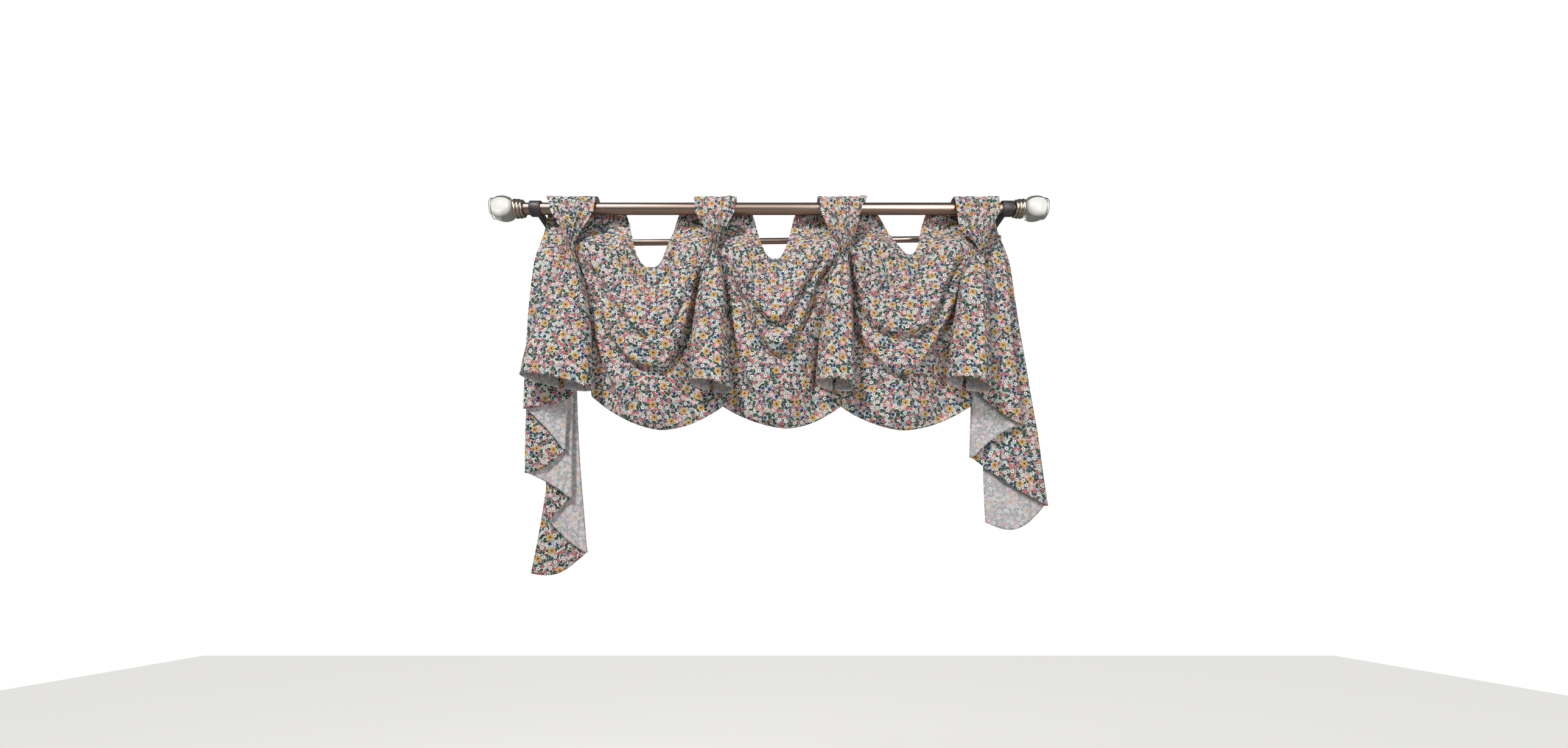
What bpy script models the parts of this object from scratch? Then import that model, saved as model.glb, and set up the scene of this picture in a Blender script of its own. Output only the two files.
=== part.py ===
"""A window swag of printed cotton on a double curtain rod.

Three draped panels hang between four horns. A horn is a tab that loops over the front rod, is
gathered to a waist, and opens below into a flared bell. A folded cascade hangs at each end.
Drawn with x = 0 at the middle of the rods, y = 0 on the wall and z = 0 on the front rod's axis;
the datum empty then carries all of it so that the origin is on the left wall plate.
Metres, +Z up, the room on the -Y side.
"""

import math
from collections import namedtuple

import bmesh
import bpy
from mathutils import Matrix, Vector

# Rods, brackets and finials
ROD_Y = -0.150
ROD_RADIUS = 0.0125
ROD_LEFT = -0.5302
ROD_RIGHT = 0.5312
REAR_ROD_Y = -0.065
REAR_ROD_RADIUS = 0.007
REAR_ROD_PAST_RING = 0.020
FIT_GAP = 0.0005
RING_LENGTH = 0.024
RING_WALL = 0.0035
PLATE = Vector((0.024, 0.003, 0.070))
ARM_WIDTH = 0.010
ARM_LOW = -0.006
ARM_HIGH = 0.008
HANGER_DEPTH = 0.012
ROUND_SIDES = 20

Bracket = namedtuple("Bracket", "name x rear_z")
BRACKETS = (
    Bracket("bracket_left", -0.5055, -0.031),
    Bracket("bracket_right", 0.5170, -0.018),
)

# Turned profiles: distance out from the rod's end, and radius
COLLAR_PROFILE = (
    (0.0003, 0.0150), (0.0025, 0.0185), (0.0055, 0.0185), (0.0075, 0.0165),
    (0.0095, 0.0198), (0.0130, 0.0198), (0.0150, 0.0175),
    (0.0170, 0.0204), (0.0215, 0.0204), (0.0235, 0.0165),
)
KNOB_PROFILE = (
    (0.0238, 0.0160), (0.0275, 0.0210), (0.0350, 0.0252), (0.0450, 0.0266),
    (0.0550, 0.0255), (0.0635, 0.0220), (0.0660, 0.0222), (0.0700, 0.0212), (0.0722, 0.0140),
)

# Cloth
CLOTH = 0.0015
BEHIND_ROD_Y = -0.1285
CLOTH_TOP_Z = 0.004
SEAM_GAP = 0.0015
GATHER_Y = -0.1595
JOINT_Y = -0.1550

Place = namedtuple("Place", "x z")
Swag = namedtuple(
    "Swag",
    "name left_knot right_knot neck_left neck_right neck_low neck_round"
    " left_joint right_joint hem_low left_bell right_bell folds valleys",
)
# A fold runs from its place down the left gather, through the middle, to the right one. A valley
# is a sharp line with a rounded ridge on its neckline side, drawn from left to right as (x, z).
Fold = namedtuple("Fold", "left middle right rise width")
Valley = namedtuple("Valley", "ridge drop spread line")
KNOTS = (Place(-0.4195, -0.101), Place(-0.1165, -0.102), Place(0.1625, -0.106), Place(0.4500, -0.105))
JOINTS = (Place(-0.3605, -0.425), Place(-0.0930, -0.446), Place(0.1460, -0.446), Place(0.4115, -0.445))
SWAGS = (
    Swag(
        "swag_1", KNOTS[0], KNOTS[1], -0.3200, -0.1940, Place(-0.2510, -0.135), 3.0,
        JOINTS[0], JOINTS[1], Place(-0.2150, -0.497), -0.3487, -0.1580,
        (
            Fold(0.06, 0.065, 0.07, 0.006, 0.040), Fold(0.20, 0.22, 0.20, 0.008, 0.050),
            Fold(0.34, 0.37, 0.36, 0.009, 0.050), Fold(0.50, 0.53, 0.50, 0.013, 0.055),
            Fold(0.66, 0.72, 0.70, 0.007, 0.060), Fold(0.84, 0.86, 0.84, 0.003, 0.070),
        ),
        (
            Valley(0.0120, 0.0100, 0.016, (
                (-0.400, -0.118), (-0.370, -0.147), (-0.347, -0.177), (-0.322, -0.218),
                (-0.293, -0.263), (-0.263, -0.297), (-0.236, -0.318),
            )),
            Valley(0.0135, 0.0135, 0.021, (
                (-0.330, -0.290), (-0.301, -0.333), (-0.275, -0.360), (-0.246, -0.372),
                (-0.218, -0.374), (-0.196, -0.355), (-0.184, -0.325), (-0.173, -0.290),
                (-0.164, -0.250), (-0.158, -0.205), (-0.152, -0.165), (-0.142, -0.125),
            )),
            Valley(0.0051, 0.0051, 0.010, (
                (-0.322, -0.060), (-0.298, -0.122), (-0.280, -0.156), (-0.257, -0.176),
                (-0.232, -0.176), (-0.213, -0.141), (-0.206, -0.097), (-0.196, -0.050),
            )),
            Valley(0.0076, 0.0059, 0.013, (
                (-0.385, -0.213), (-0.374, -0.255), (-0.362, -0.295), (-0.349, -0.331),
                (-0.332, -0.369), (-0.312, -0.405), (-0.298, -0.440),
            )),
            Valley(0.0059, 0.0051, 0.012, (
                (-0.225, -0.295), (-0.200, -0.278), (-0.186, -0.245), (-0.172, -0.190),
                (-0.158, -0.145), (-0.146, -0.118),
            )),
        ),
    ),
    Swag(
        "swag_2", KNOTS[1], KNOTS[2], -0.0400, 0.0625, Place(0.0120, -0.115), 3.0,
        JOINTS[1], JOINTS[2], Place(0.0330, -0.494), -0.0735, 0.0938,
        (
            Fold(0.10, 0.10, 0.10, 0.006, 0.040), Fold(0.22, 0.24, 0.21, 0.009, 0.050),
            Fold(0.34, 0.37, 0.33, 0.012, 0.050), Fold(0.50, 0.52, 0.49, 0.011, 0.050),
            Fold(0.68, 0.73, 0.68, 0.007, 0.060), Fold(0.85, 0.86, 0.85, 0.003, 0.060),
        ),
        (
            Valley(0.0125, 0.0120, 0.018, (
                (-0.106, -0.110), (-0.083, -0.130), (-0.065, -0.158), (-0.045, -0.200),
                (-0.029, -0.233), (-0.012, -0.260), (0.006, -0.277), (0.024, -0.274), (0.038, -0.255),
                (0.052, -0.230), (0.065, -0.203), (0.080, -0.174), (0.094, -0.145), (0.120, -0.115),
            )),
            Valley(0.0115, 0.0130, 0.019, (
                (-0.090, -0.138), (-0.074, -0.168), (-0.052, -0.210), (-0.036, -0.250),
                (-0.022, -0.288), (-0.010, -0.318), (0.006, -0.342), (0.024, -0.340), (0.042, -0.318),
                (0.060, -0.290), (0.076, -0.258), (0.088, -0.222), (0.102, -0.180), (0.118, -0.150),
                (0.136, -0.128),
            )),
            Valley(0.0085, 0.0068, 0.014, (
                (-0.108, -0.130), (-0.094, -0.170), (-0.085, -0.215), (-0.078, -0.265),
                (-0.067, -0.310), (-0.058, -0.350), (-0.046, -0.389), (-0.036, -0.430),
            )),
            Valley(0.0068, 0.0059, 0.012, (
                (0.086, -0.430), (0.090, -0.395), (0.094, -0.360), (0.102, -0.322), (0.110, -0.285),
            )),
            Valley(0.0043, 0.0043, 0.009, (
                (-0.030, -0.060), (-0.012, -0.110), (0.005, -0.140), (0.024, -0.140), (0.040, -0.105),
                (0.052, -0.060),
            )),
        ),
    ),
    Swag(
        "swag_3", KNOTS[2], KNOTS[3], 0.2340, 0.3520, Place(0.3050, -0.106), 2.2,
        JOINTS[2], JOINTS[3], Place(0.2680, -0.498), 0.1695, 0.3514,
        (
            Fold(0.10, 0.10, 0.10, 0.007, 0.042), Fold(0.27, 0.28, 0.26, 0.010, 0.050),
            Fold(0.44, 0.46, 0.42, 0.012, 0.052), Fold(0.57, 0.60, 0.56, 0.011, 0.050),
            Fold(0.76, 0.78, 0.75, 0.006, 0.055), Fold(0.90, 0.89, 0.88, 0.003, 0.050),
        ),
        (
            Valley(0.0120, 0.0120, 0.018, (
                (0.172, -0.125), (0.181, -0.175), (0.187, -0.214), (0.196, -0.249), (0.210, -0.278),
                (0.236, -0.298), (0.266, -0.306), (0.298, -0.296), (0.322, -0.279), (0.338, -0.255),
                (0.352, -0.228), (0.362, -0.203), (0.374, -0.174), (0.389, -0.148), (0.404, -0.125),
                (0.425, -0.112),
            )),
            Valley(0.0068, 0.0051, 0.010, (
                (0.176, -0.115), (0.189, -0.130), (0.204, -0.160), (0.212, -0.190), (0.219, -0.225),
            )),
            Valley(0.0059, 0.0051, 0.009, (
                (0.205, -0.075), (0.215, -0.115), (0.224, -0.150), (0.233, -0.186), (0.238, -0.220),
            )),
            Valley(0.0120, 0.0120, 0.017, (
                (0.174, -0.200), (0.180, -0.250), (0.186, -0.290), (0.202, -0.330), (0.225, -0.365),
                (0.252, -0.385), (0.278, -0.388), (0.302, -0.368), (0.328, -0.332), (0.354, -0.290),
                (0.376, -0.256), (0.393, -0.215), (0.404, -0.175), (0.416, -0.142),
            )),
            Valley(0.0051, 0.0068, 0.012, (
                (0.248, -0.150), (0.267, -0.187), (0.284, -0.195), (0.297, -0.183), (0.311, -0.153),
                (0.328, -0.122), (0.342, -0.090), (0.350, -0.050),
            )),
        ),
    ),
)
SWAG_COLUMNS = 24
SWAG_ROWS = 22
SEAM_SHARE = 0.3
HEM_ROUND = 1.7
FLARE_POWER = 0.6
BELLY_POWER = 1.2
FORWARD_FROM_Z = -0.030
FORWARD_AT_Z = -0.100
FOLD_LEAN = 0.25
FOLD_LEFT_BESIDE_BELL = 0.12
FOLD_FADE_POWER = 0.7
FOLD_LOST_AT_HEM = 0.7
VALLEY_POINTS = 30
VALLEY_EDGE = 0.008
VALLEY_AT_KNOT = 0.55
VALLEY_FULL_FROM_KNOT = 0.090
VALLEY_LEFT_BESIDE_BELL = 0.35
VALLEY_FADE_POWER = 0.3
VALLEY_ENDS = 0.06
LINE_POINTS = 40

# A rung is one line across a swag, from gather to gather. Down is 0 at the neckline and 1 at the
# hem. Reach and drop lead its ends from the neckline's corners to the knots.
Rung = namedtuple("Rung", "down reach drop round power forward")
RUNGS = (
    Rung(0.00, 0.00, 0.00, 0.0, 2.1, -0.146),
    Rung(0.08, 0.42, 0.00, 2.0, 1.5, -0.153),
    Rung(0.17, 0.88, 0.00, 1.8, 1.2, -0.162),
    Rung(0.26, 0.95, 0.90, 1.7, 1.0, -0.172),
    Rung(0.40, 0.97, 1.00, 1.8, 1.0, -0.182),
    Rung(0.65, 0.98, 1.00, 2.2, 1.0, -0.188),
    Rung(0.85, 0.99, 1.00, 3.0, 1.0, -0.178),
    Rung(1.00, 1.00, 1.00, 4.0, 1.0, -0.168),
)

# Horns. Each row is one line across a horn, from behind the rod to the bell's hem. Wrap is how
# far the sides curl back towards each other, in degrees each way from the front. Narrowing is 0
# over the rod, 1 just below it and 2 above the knot.
HornRow = namedtuple("HornRow", "y z depth wrap pleat")
LoopRow = namedtuple("LoopRow", "y z depth wrap pleat narrowing")
FullRow = namedtuple("FullRow", "y z depth wrap pleat left right")
LOOP_ROWS = (
    LoopRow(-0.1335, -0.0040, 0.000, 10, 0.0000, 0.0),
    LoopRow(-0.1340, 0.0080, 0.000, 10, 0.0000, 0.0),
    LoopRow(-0.1370, 0.0200, 0.000, 10, 0.0000, 0.0),
    LoopRow(-0.1500, 0.0240, 0.000, 10, 0.0000, 0.0),
    LoopRow(-0.1640, 0.0195, 0.000, 10, 0.0000, 0.0),
    LoopRow(-0.1690, 0.0040, 0.000, 10, 0.0003, 0.5),
    LoopRow(-0.1700, -0.0200, 0.000, 15, 0.0008, 1.0),
    LoopRow(-0.1730, -0.0600, 0.002, 35, 0.0018, 2.0),
)
KNOT_ROW = HornRow(-0.1780, 0.0, 0.006, 60, 0.0022)
BELL_ROWS = (
    HornRow(-0.1830, -0.130, 0.011, 110, 0.0020),
    HornRow(-0.1900, -0.170, 0.021, 150, 0.0015),
    HornRow(-0.1990, -0.220, 0.032, 170, 0.0010),
    HornRow(-0.2070, -0.280, 0.041, 174, 0.0008),
    HornRow(-0.2150, -0.340, 0.049, 175, 0.0005),
    HornRow(-0.2220, 0.0, 0.056, 175, 0.0000),
)
KNOT_HALF_WIDTH = 0.0105
HEM_CURL_DROP = 0.008
PLEATS = 3
HORN_COLUMNS = 14
HORN_STEPS = 18
ROUTE_POINTS = 200

Edges = namedtuple("Edges", "left right")
Horn = namedtuple("Horn", "name knot top rod_bottom above_knot bell hem_left_z hem_right_z")
HORNS = (
    Horn(
        "horn_1", KNOTS[0], Edges(-0.4800, -0.3710), Edges(-0.4653, -0.3765), Edges(-0.4425, -0.3965),
        (
            Edges(-0.4310, -0.4030), Edges(-0.4370, -0.3890), Edges(-0.4540, -0.3720),
            Edges(-0.4700, -0.3605), Edges(-0.4845, -0.3535), Edges(-0.4915, -0.3487),
        ),
        -0.388, -0.417,
    ),
    Horn(
        "horn_2", KNOTS[1], Edges(-0.1618, -0.0703), Edges(-0.1568, -0.0745), Edges(-0.1360, -0.0940),
        (
            Edges(-0.1290, -0.1030), Edges(-0.1380, -0.0950), Edges(-0.1460, -0.0880),
            Edges(-0.1530, -0.0850), Edges(-0.1560, -0.0800), Edges(-0.1580, -0.0735),
        ),
        -0.402, -0.419,
    ),
    Horn(
        "horn_3", KNOTS[2], Edges(0.1062, 0.2123), Edges(0.1124, 0.1960), Edges(0.1285, 0.1863),
        (
            Edges(0.1420, 0.1680), Edges(0.1260, 0.1690), Edges(0.1170, 0.1700),
            Edges(0.1080, 0.1705), Edges(0.0985, 0.1704), Edges(0.0938, 0.1695),
        ),
        -0.403, -0.413,
    ),
    Horn(
        "horn_4", KNOTS[3], Edges(0.3994, 0.4976), Edges(0.4025, 0.4927), Edges(0.4086, 0.4716),
        (
            Edges(0.4230, 0.4520), Edges(0.4010, 0.4500), Edges(0.3890, 0.4497),
            Edges(0.3750, 0.4470), Edges(0.3630, 0.4435), Edges(0.3514, 0.4356),
        ),
        -0.396, -0.417,
    ),
)

# Cascades. A row is one upright fold line: where it is at the top, half way and at the hem.
# Bulge is how far the hem after that line hangs below the straight line to the next.
Line = namedtuple("Line", "top_x middle_x hem_x hem_z bulge")
Tail = namedtuple("Tail", "name lines top_step hem_step")
TAILS = (
    Tail(
        "tail_left",
        (
            Line(-0.4240, -0.4140, -0.3970, -0.426, 0.005), Line(-0.4890, -0.5020, -0.4970, -0.450, -0.004),
            Line(-0.4240, -0.4180, -0.4100, -0.533, 0.011), Line(-0.4885, -0.5015, -0.4900, -0.580, -0.004),
            Line(-0.4240, -0.4120, -0.3960, -0.630, -0.003), Line(-0.4880, -0.4700, -0.4470, -0.677, 0.005),
            Line(-0.4240, -0.4080, -0.3640, -0.738, 0.020), Line(-0.4870, -0.4500, -0.4740, -0.779, 0.000),
        ),
        0.0030, 0.0075,
    ),
    Tail(
        "tail_right",
        (
            Line(0.4560, 0.4435, 0.4280, -0.420, 0.006), Line(0.4985, 0.5045, 0.5100, -0.484, -0.008),
            Line(0.4550, 0.4300, 0.4065, -0.548, 0.007), Line(0.5025, 0.5370, 0.5610, -0.645, 0.030),
            Line(0.4560, 0.4450, 0.4350, -0.678, 0.000),
        ),
        0.0036, 0.0110,
    ),
)
TAIL_FRONT_Y = -0.1580
TAIL_SPREAD_FROM_Z = -0.020
TAIL_FORWARD_AT_Z = -0.140
TAIL_SPREAD_AT_Z = -0.300
TAIL_ROWS = 9
STRAIGHT_COLUMNS = 4
ARC_COLUMNS = 4


def step(value, start, end):
    """Rises smoothly from 0 at start to 1 at end."""
    share = min(max((value - start) / (end - start), 0.0), 1.0)
    return share * share * (3 - 2 * share)


def mix(a, b, share):
    return a + (b - a) * share


def row_between(rows, place):
    """A row of a table at a place between its rows, on a smooth curve through them."""
    index = min(max(int(place), 0), len(rows) - 2)
    share = place - index
    before, start = rows[max(index - 1, 0)], rows[index]
    end, after = rows[index + 1], rows[min(index + 2, len(rows) - 1)]
    values = []
    for p0, p1, p2, p3 in zip(before, start, end, after):
        slope_in, slope_out = (p2 - p0) / 2, (p3 - p1) / 2
        a = 2 * p1 - 2 * p2 + slope_in + slope_out
        b = -3 * p1 + 3 * p2 - 2 * slope_in - slope_out
        values.append(((a * share + b) * share + slope_in) * share + p1)
    return type(start)(*values)


def evenly(points, count):
    """Points at even distances along a line, as their first two numbers measure it."""
    lengths = [0.0]
    for a, b in zip(points, points[1:]):
        lengths.append(lengths[-1] + math.dist(a[:2], b[:2]))
    spread, index = [], 0
    for number in range(count + 1):
        want = lengths[-1] * number / count
        while index < len(points) - 2 and lengths[index + 1] < want:
            index += 1
        share = (want - lengths[index]) / max(lengths[index + 1] - lengths[index], 1e-9)
        spread.append(tuple(mix(a, b, share) for a, b in zip(points[index], points[index + 1])))
    return spread


def rung_at(down):
    """The rung's settings at a share of the way down a swag."""
    index = 0
    while index < len(RUNGS) - 2 and RUNGS[index + 1].down < down:
        index += 1
    start, end = RUNGS[index], RUNGS[index + 1]
    return row_between(RUNGS, index + (down - start.down) / (end.down - start.down))


def drape_line(swag, down, columns):
    """One rung of a swag as even (x, z) points, hanging from its two ends."""
    rung = rung_at(down)
    reach, drop = min(rung.reach, 1.0), min(max(rung.drop, 0.0), 1.0)
    left = Place(
        mix(swag.neck_left, swag.left_knot.x + SEAM_GAP, reach), mix(CLOTH_TOP_Z, swag.left_knot.z, drop)
    )
    right = Place(
        mix(swag.neck_right, swag.right_knot.x - SEAM_GAP, reach), mix(CLOTH_TOP_Z, swag.right_knot.z, drop)
    )
    low = Place(mix(swag.neck_low.x, swag.hem_low.x, down), mix(swag.neck_low.z, swag.hem_low.z, down))
    roundness = mix(swag.neck_round, rung.round, step(down, 0.0, 0.1))
    points = []
    for number in range(-LINE_POINTS, LINE_POINTS + 1):
        across = abs(number) / LINE_POINTS
        end = left if number < 0 else right
        depth = (1 - across**roundness) ** rung.power
        points.append((mix(low.x, end.x, across), mix(end.z, low.z, depth)))
    return evenly(points, columns)


def hem_line(swag, columns):
    """The outer line of a swag: down one seam, along the hem and up the other seam."""
    points = []
    for number in range(columns + 1):
        share = number / columns
        if share < SEAM_SHARE:
            along = share / SEAM_SHARE
            points.append((
                mix(swag.left_knot.x, swag.left_joint.x, along) + SEAM_GAP,
                mix(swag.left_knot.z, swag.left_joint.z, along),
            ))
        elif share > 1 - SEAM_SHARE:
            along = (1 - share) / SEAM_SHARE
            points.append((
                mix(swag.right_knot.x, swag.right_joint.x, along) - SEAM_GAP,
                mix(swag.right_knot.z, swag.right_joint.z, along),
            ))
        else:
            along = (share - SEAM_SHARE) / (1 - 2 * SEAM_SHARE)
            across = abs(2 * along - 1)
            end = swag.left_joint if along < 0.5 else swag.right_joint
            inward = SEAM_GAP if along < 0.5 else -SEAM_GAP
            points.append((
                mix(swag.hem_low.x, end.x + inward, across),
                mix(swag.hem_low.z, end.z, across**HEM_ROUND),
            ))
    return points


def seam_share(swag, z):
    """0 at the height of the knots and 1 at the hem's joints."""
    return min(max((swag.left_knot.z - z) / (swag.left_knot.z - swag.left_joint.z), 0.0), 1.0)


def belly(swag, x, z):
    """0 beside and behind the bells, and 1 half way between them."""
    flare = seam_share(swag, z) ** FLARE_POWER
    left = mix(swag.left_knot.x, swag.left_bell, flare)
    right = mix(swag.right_knot.x, swag.right_bell, flare)
    across = min(max((x - left) / (right - left), 0.0), 1.0)
    return math.sin(math.pi * across) ** BELLY_POWER


def swag_depth(swag, down, x, z):
    """How far forward a swag's smooth surface stands, before its folds."""
    side = mix(GATHER_Y, JOINT_Y, seam_share(swag, z))
    full = mix(side, rung_at(down).forward, belly(swag, x, z))
    return mix(BEHIND_ROD_Y, full, step(z, FORWARD_FROM_Z, FORWARD_AT_Z))


def fold_rise(swag, down, share, x, z):
    """Height of a swag's folds above its smooth surface."""
    rise = 0.0
    for fold in swag.folds:
        bow = fold.middle - (fold.left + fold.right) / 2
        middle = mix(fold.left, fold.right, share) + bow * 4 * share * (1 - share)
        rise += fold.rise * math.exp(-(((down - middle) / fold.width) ** 2))
    fade = mix(FOLD_LEFT_BESIDE_BELL, 1.0, belly(swag, x, z) ** FOLD_FADE_POWER)
    near_hem = 1 - FOLD_LOST_AT_HEM * step(down, 0.92, 1.0)
    return rise * fade * near_hem * step(z, FORWARD_FROM_Z, FORWARD_AT_Z)


def smooth_line(points):
    """Even points on a smooth curve through a table's points."""
    places = [Place(*point) for point in points]
    last = len(places) - 1
    curve = [tuple(row_between(places, last * number / LINE_POINTS)) for number in range(LINE_POINTS + 1)]
    return evenly(curve, VALLEY_POINTS)


def from_line(line, x, z):
    """How far a point is from a line, more than 0 on its left, and its share of the way along."""
    nearest = min(range(len(line)), key=lambda index: (x - line[index][0]) ** 2 + (z - line[index][1]) ** 2)
    found = []
    for index in (nearest - 1, nearest):
        if 0 <= index < len(line) - 1:
            start, end = line[index], line[index + 1]
            run, climb = end[0] - start[0], end[1] - start[1]
            along = ((x - start[0]) * run + (z - start[1]) * climb) / (run * run + climb * climb)
            along = min(max(along, 0.0), 1.0)
            off_x, off_z = x - start[0] - run * along, z - start[1] - climb * along
            side = 1 if run * off_z - climb * off_x > 0 else -1
            found.append((math.hypot(off_x, off_z), side, (index + along) / (len(line) - 1)))
    away, side, share = min(found)
    return side * away, share


def valley_rise(swag, lines, x, z):
    """Height of the sharp valleys that run out of the knots, and of the ridges beside them."""
    from_knot = min(math.dist((x, z), swag.left_knot), math.dist((x, z), swag.right_knot))
    near = mix(VALLEY_AT_KNOT, 1.0, min(from_knot / VALLEY_FULL_FROM_KNOT, 1.0))
    rise = 0.0
    for valley, line in zip(swag.valleys, lines):
        away, share = from_line(line, x, z)
        ends = step(share, 0.0, VALLEY_ENDS) * step(share, 1.0, 1 - VALLEY_ENDS)
        above = 0.5 + 0.5 * math.tanh(away / (VALLEY_EDGE * near))
        rise += ends * mix(-valley.drop, valley.ridge, above) * math.exp(-abs(away) / (valley.spread * near))
    fade = mix(VALLEY_LEFT_BESIDE_BELL, 1.0, belly(swag, x, z) ** VALLEY_FADE_POWER)
    return rise * near * fade * step(z, FORWARD_FROM_Z, FORWARD_AT_Z)


def swag_grid(swag, columns, rows):
    outer = hem_line(swag, columns)
    lines = [smooth_line(valley.line) for valley in swag.valleys]
    grid = []
    for row in range(rows + 1):
        down = row / rows
        blend = step(down, 0.5, 1.0)
        line = []
        for column, (inner, hem) in enumerate(zip(drape_line(swag, down, columns), outer)):
            x, z = mix(inner[0], hem[0], blend), mix(inner[1], hem[1], blend)
            rise = fold_rise(swag, down, column / columns, x, z) + valley_rise(swag, lines, x, z)
            y = swag_depth(swag, down, x, z) - rise
            line.append(Vector((x, y, z - rise * FOLD_LEAN)))
        grid.append(line)
    return grid


def loop_edges(horn, narrowing):
    """A loop's two edges at a place between the rod and the knot."""
    places = (horn.top, horn.rod_bottom, horn.above_knot)
    index = min(int(narrowing), len(places) - 2)
    return [mix(a, b, narrowing - index) for a, b in zip(places[index], places[index + 1])]


def horn_rows(horn):
    """Every row of one horn, each with its own two edges."""
    rows = [FullRow(*row[:-1], *loop_edges(horn, row.narrowing)) for row in LOOP_ROWS]
    knot = horn.knot
    rows.append(FullRow(*KNOT_ROW._replace(z=knot.z), knot.x - KNOT_HALF_WIDTH, knot.x + KNOT_HALF_WIDTH))
    for row, edges in zip(BELL_ROWS, horn.bell):
        rows.append(FullRow(*row, *edges))
    rows[-1] = rows[-1]._replace(z=(horn.hem_left_z + horn.hem_right_z) / 2)
    return rows


def horn_grid(horn, columns, steps):
    rows = horn_rows(horn)
    knot_place = len(LOOP_ROWS)
    route = []
    for number in range(ROUTE_POINTS + 1):
        place = number * (len(rows) - 1) / ROUTE_POINTS
        row = row_between(rows, place)
        route.append((row.y, row.z, place))
    grid = []
    for _, _, place in evenly(route, steps):
        row = row_between(rows, place)
        wrap = math.radians(row.wrap)
        bell_share = max(place - knot_place, 0.0) / (len(rows) - 1 - knot_place)
        line = []
        for column in range(columns + 1):
            across = 2 * column / columns - 1
            turn = wrap * across
            widest = math.sin(min(wrap, math.pi / 2))
            x = mix(row.left, row.right, 0.5 + 0.5 * math.sin(turn) / widest)
            back = (1 - math.cos(turn)) / (1 - math.cos(wrap))
            side = (x - (row.left + row.right) / 2) / ((row.right - row.left) / 2)
            tilt = side * (horn.hem_right_z - horn.hem_left_z) / 2 * bell_share**2
            pleat = row.pleat * math.cos(PLEATS * math.pi * (across + 1)) * (1 - back * 0.5)
            z = row.z + tilt - HEM_CURL_DROP * back * bell_share**2
            line.append(Vector((x, row.y + row.depth * back - pleat, z)))
        grid.append(line)
    return grid


def line_x(line, share):
    """Where an upright fold line is at a share of its way down: a parabola through three places."""
    bow = line.middle_x - (line.top_x + line.hem_x) / 2
    return mix(line.top_x, line.hem_x, share) + bow * 4 * share * (1 - share)


def tail_layer_y(tail, layer, z):
    front = mix(BEHIND_ROD_Y, TAIL_FRONT_Y, step(z, TAIL_SPREAD_FROM_Z, TAIL_FORWARD_AT_Z))
    spacing = mix(tail.top_step, tail.hem_step, step(z, TAIL_SPREAD_FROM_Z, TAIL_SPREAD_AT_Z))
    return front + layer * spacing, spacing


def tail_line(tail, share):
    """One level of a cascade: straight layers joined by round folds."""
    points = []
    lines = tail.lines
    for layer, (start, end) in enumerate(zip(lines, lines[1:])):
        toward = 1 if end.hem_x > start.hem_x else -1
        for column in range(STRAIGHT_COLUMNS + 1):
            along = column / STRAIGHT_COLUMNS
            hem = mix(start.hem_z, end.hem_z, along) - start.bulge * math.sin(math.pi * along)
            z = mix(CLOTH_TOP_Z, hem, share)
            y, spacing = tail_layer_y(tail, layer, z)
            start_round = spacing / 2 if layer else 0.0
            end_round = spacing / 2 if layer < len(lines) - 2 else 0.0
            x_start = line_x(start, share) + toward * start_round
            x_end = line_x(end, share) - toward * end_round
            points.append(Vector((mix(x_start, x_end, along), y, z)))
        if layer == len(lines) - 2:
            break
        z = mix(CLOTH_TOP_Z, end.hem_z, share)
        y, spacing = tail_layer_y(tail, layer, z)
        for column in range(1, ARC_COLUMNS):
            turn = math.pi * column / ARC_COLUMNS
            x = line_x(end, share) - toward * spacing / 2 * (1 - math.sin(turn))
            points.append(Vector((x, y + spacing / 2 * (1 - math.cos(turn)), z)))
    return points


def tail_grid(tail, rows):
    return [tail_line(tail, row / rows) for row in range(rows + 1)]


def material(name, hex_colour, roughness, metallic=0.0, transmission=0.0):
    """A Principled material from an sRGB hex colour."""
    made = bpy.data.materials.new(name)
    made.use_nodes = True
    shader = made.node_tree.nodes["Principled BSDF"]
    linear = []
    for start in (0, 2, 4):
        value = int(hex_colour[start:start + 2], 16) / 255
        linear.append(value / 12.92 if value <= 0.04045 else ((value + 0.055) / 1.055) ** 2.4)
    shader.inputs["Base Color"].default_value = (*linear, 1.0)
    shader.inputs["Roughness"].default_value = roughness
    shader.inputs["Metallic"].default_value = metallic
    shader.inputs["Transmission Weight"].default_value = transmission
    return made


def object_from(name, body, datum, finish):
    """Makes a named object of a bmesh, hung on the datum."""
    mesh = bpy.data.meshes.new(name)
    body.to_mesh(mesh)
    body.free()
    made = bpy.data.objects.new(name, mesh)
    bpy.context.scene.collection.objects.link(made)
    made.parent = datum
    made.data.materials.append(finish)
    return made


def cloth_sheet(name, grid, datum, finish):
    """A sheet of cloth on a grid of points, thickened evenly to both sides."""
    body = bmesh.new()
    lines = [[body.verts.new(point) for point in line] for line in grid]
    for upper, lower in zip(lines, lines[1:]):
        for column in range(len(upper) - 1):
            body.faces.new((upper[column], lower[column], lower[column + 1], upper[column + 1]))
    made = object_from(name, body, datum, finish)
    made.data.shade_smooth()
    thickness = made.modifiers.new("thickness", "SOLIDIFY")
    thickness.thickness = CLOTH
    thickness.offset = 0.0
    return made


def tube(name, radius, start, end, datum, finish):
    """A round bar between two points."""
    along = Vector(end) - Vector(start)
    body = bmesh.new()
    bmesh.ops.create_cone(
        body, cap_ends=True, segments=ROUND_SIDES, radius1=radius, radius2=radius, depth=along.length
    )
    turn = along.to_track_quat("Z", "Y").to_matrix().to_4x4()
    middle = Matrix.Translation((Vector(start) + Vector(end)) / 2)
    bmesh.ops.transform(body, matrix=middle @ turn, verts=body.verts)
    made = object_from(name, body, datum, finish)
    made.data.shade_smooth()
    made.data.set_sharp_from_angle(angle=math.radians(40))
    return made


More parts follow.
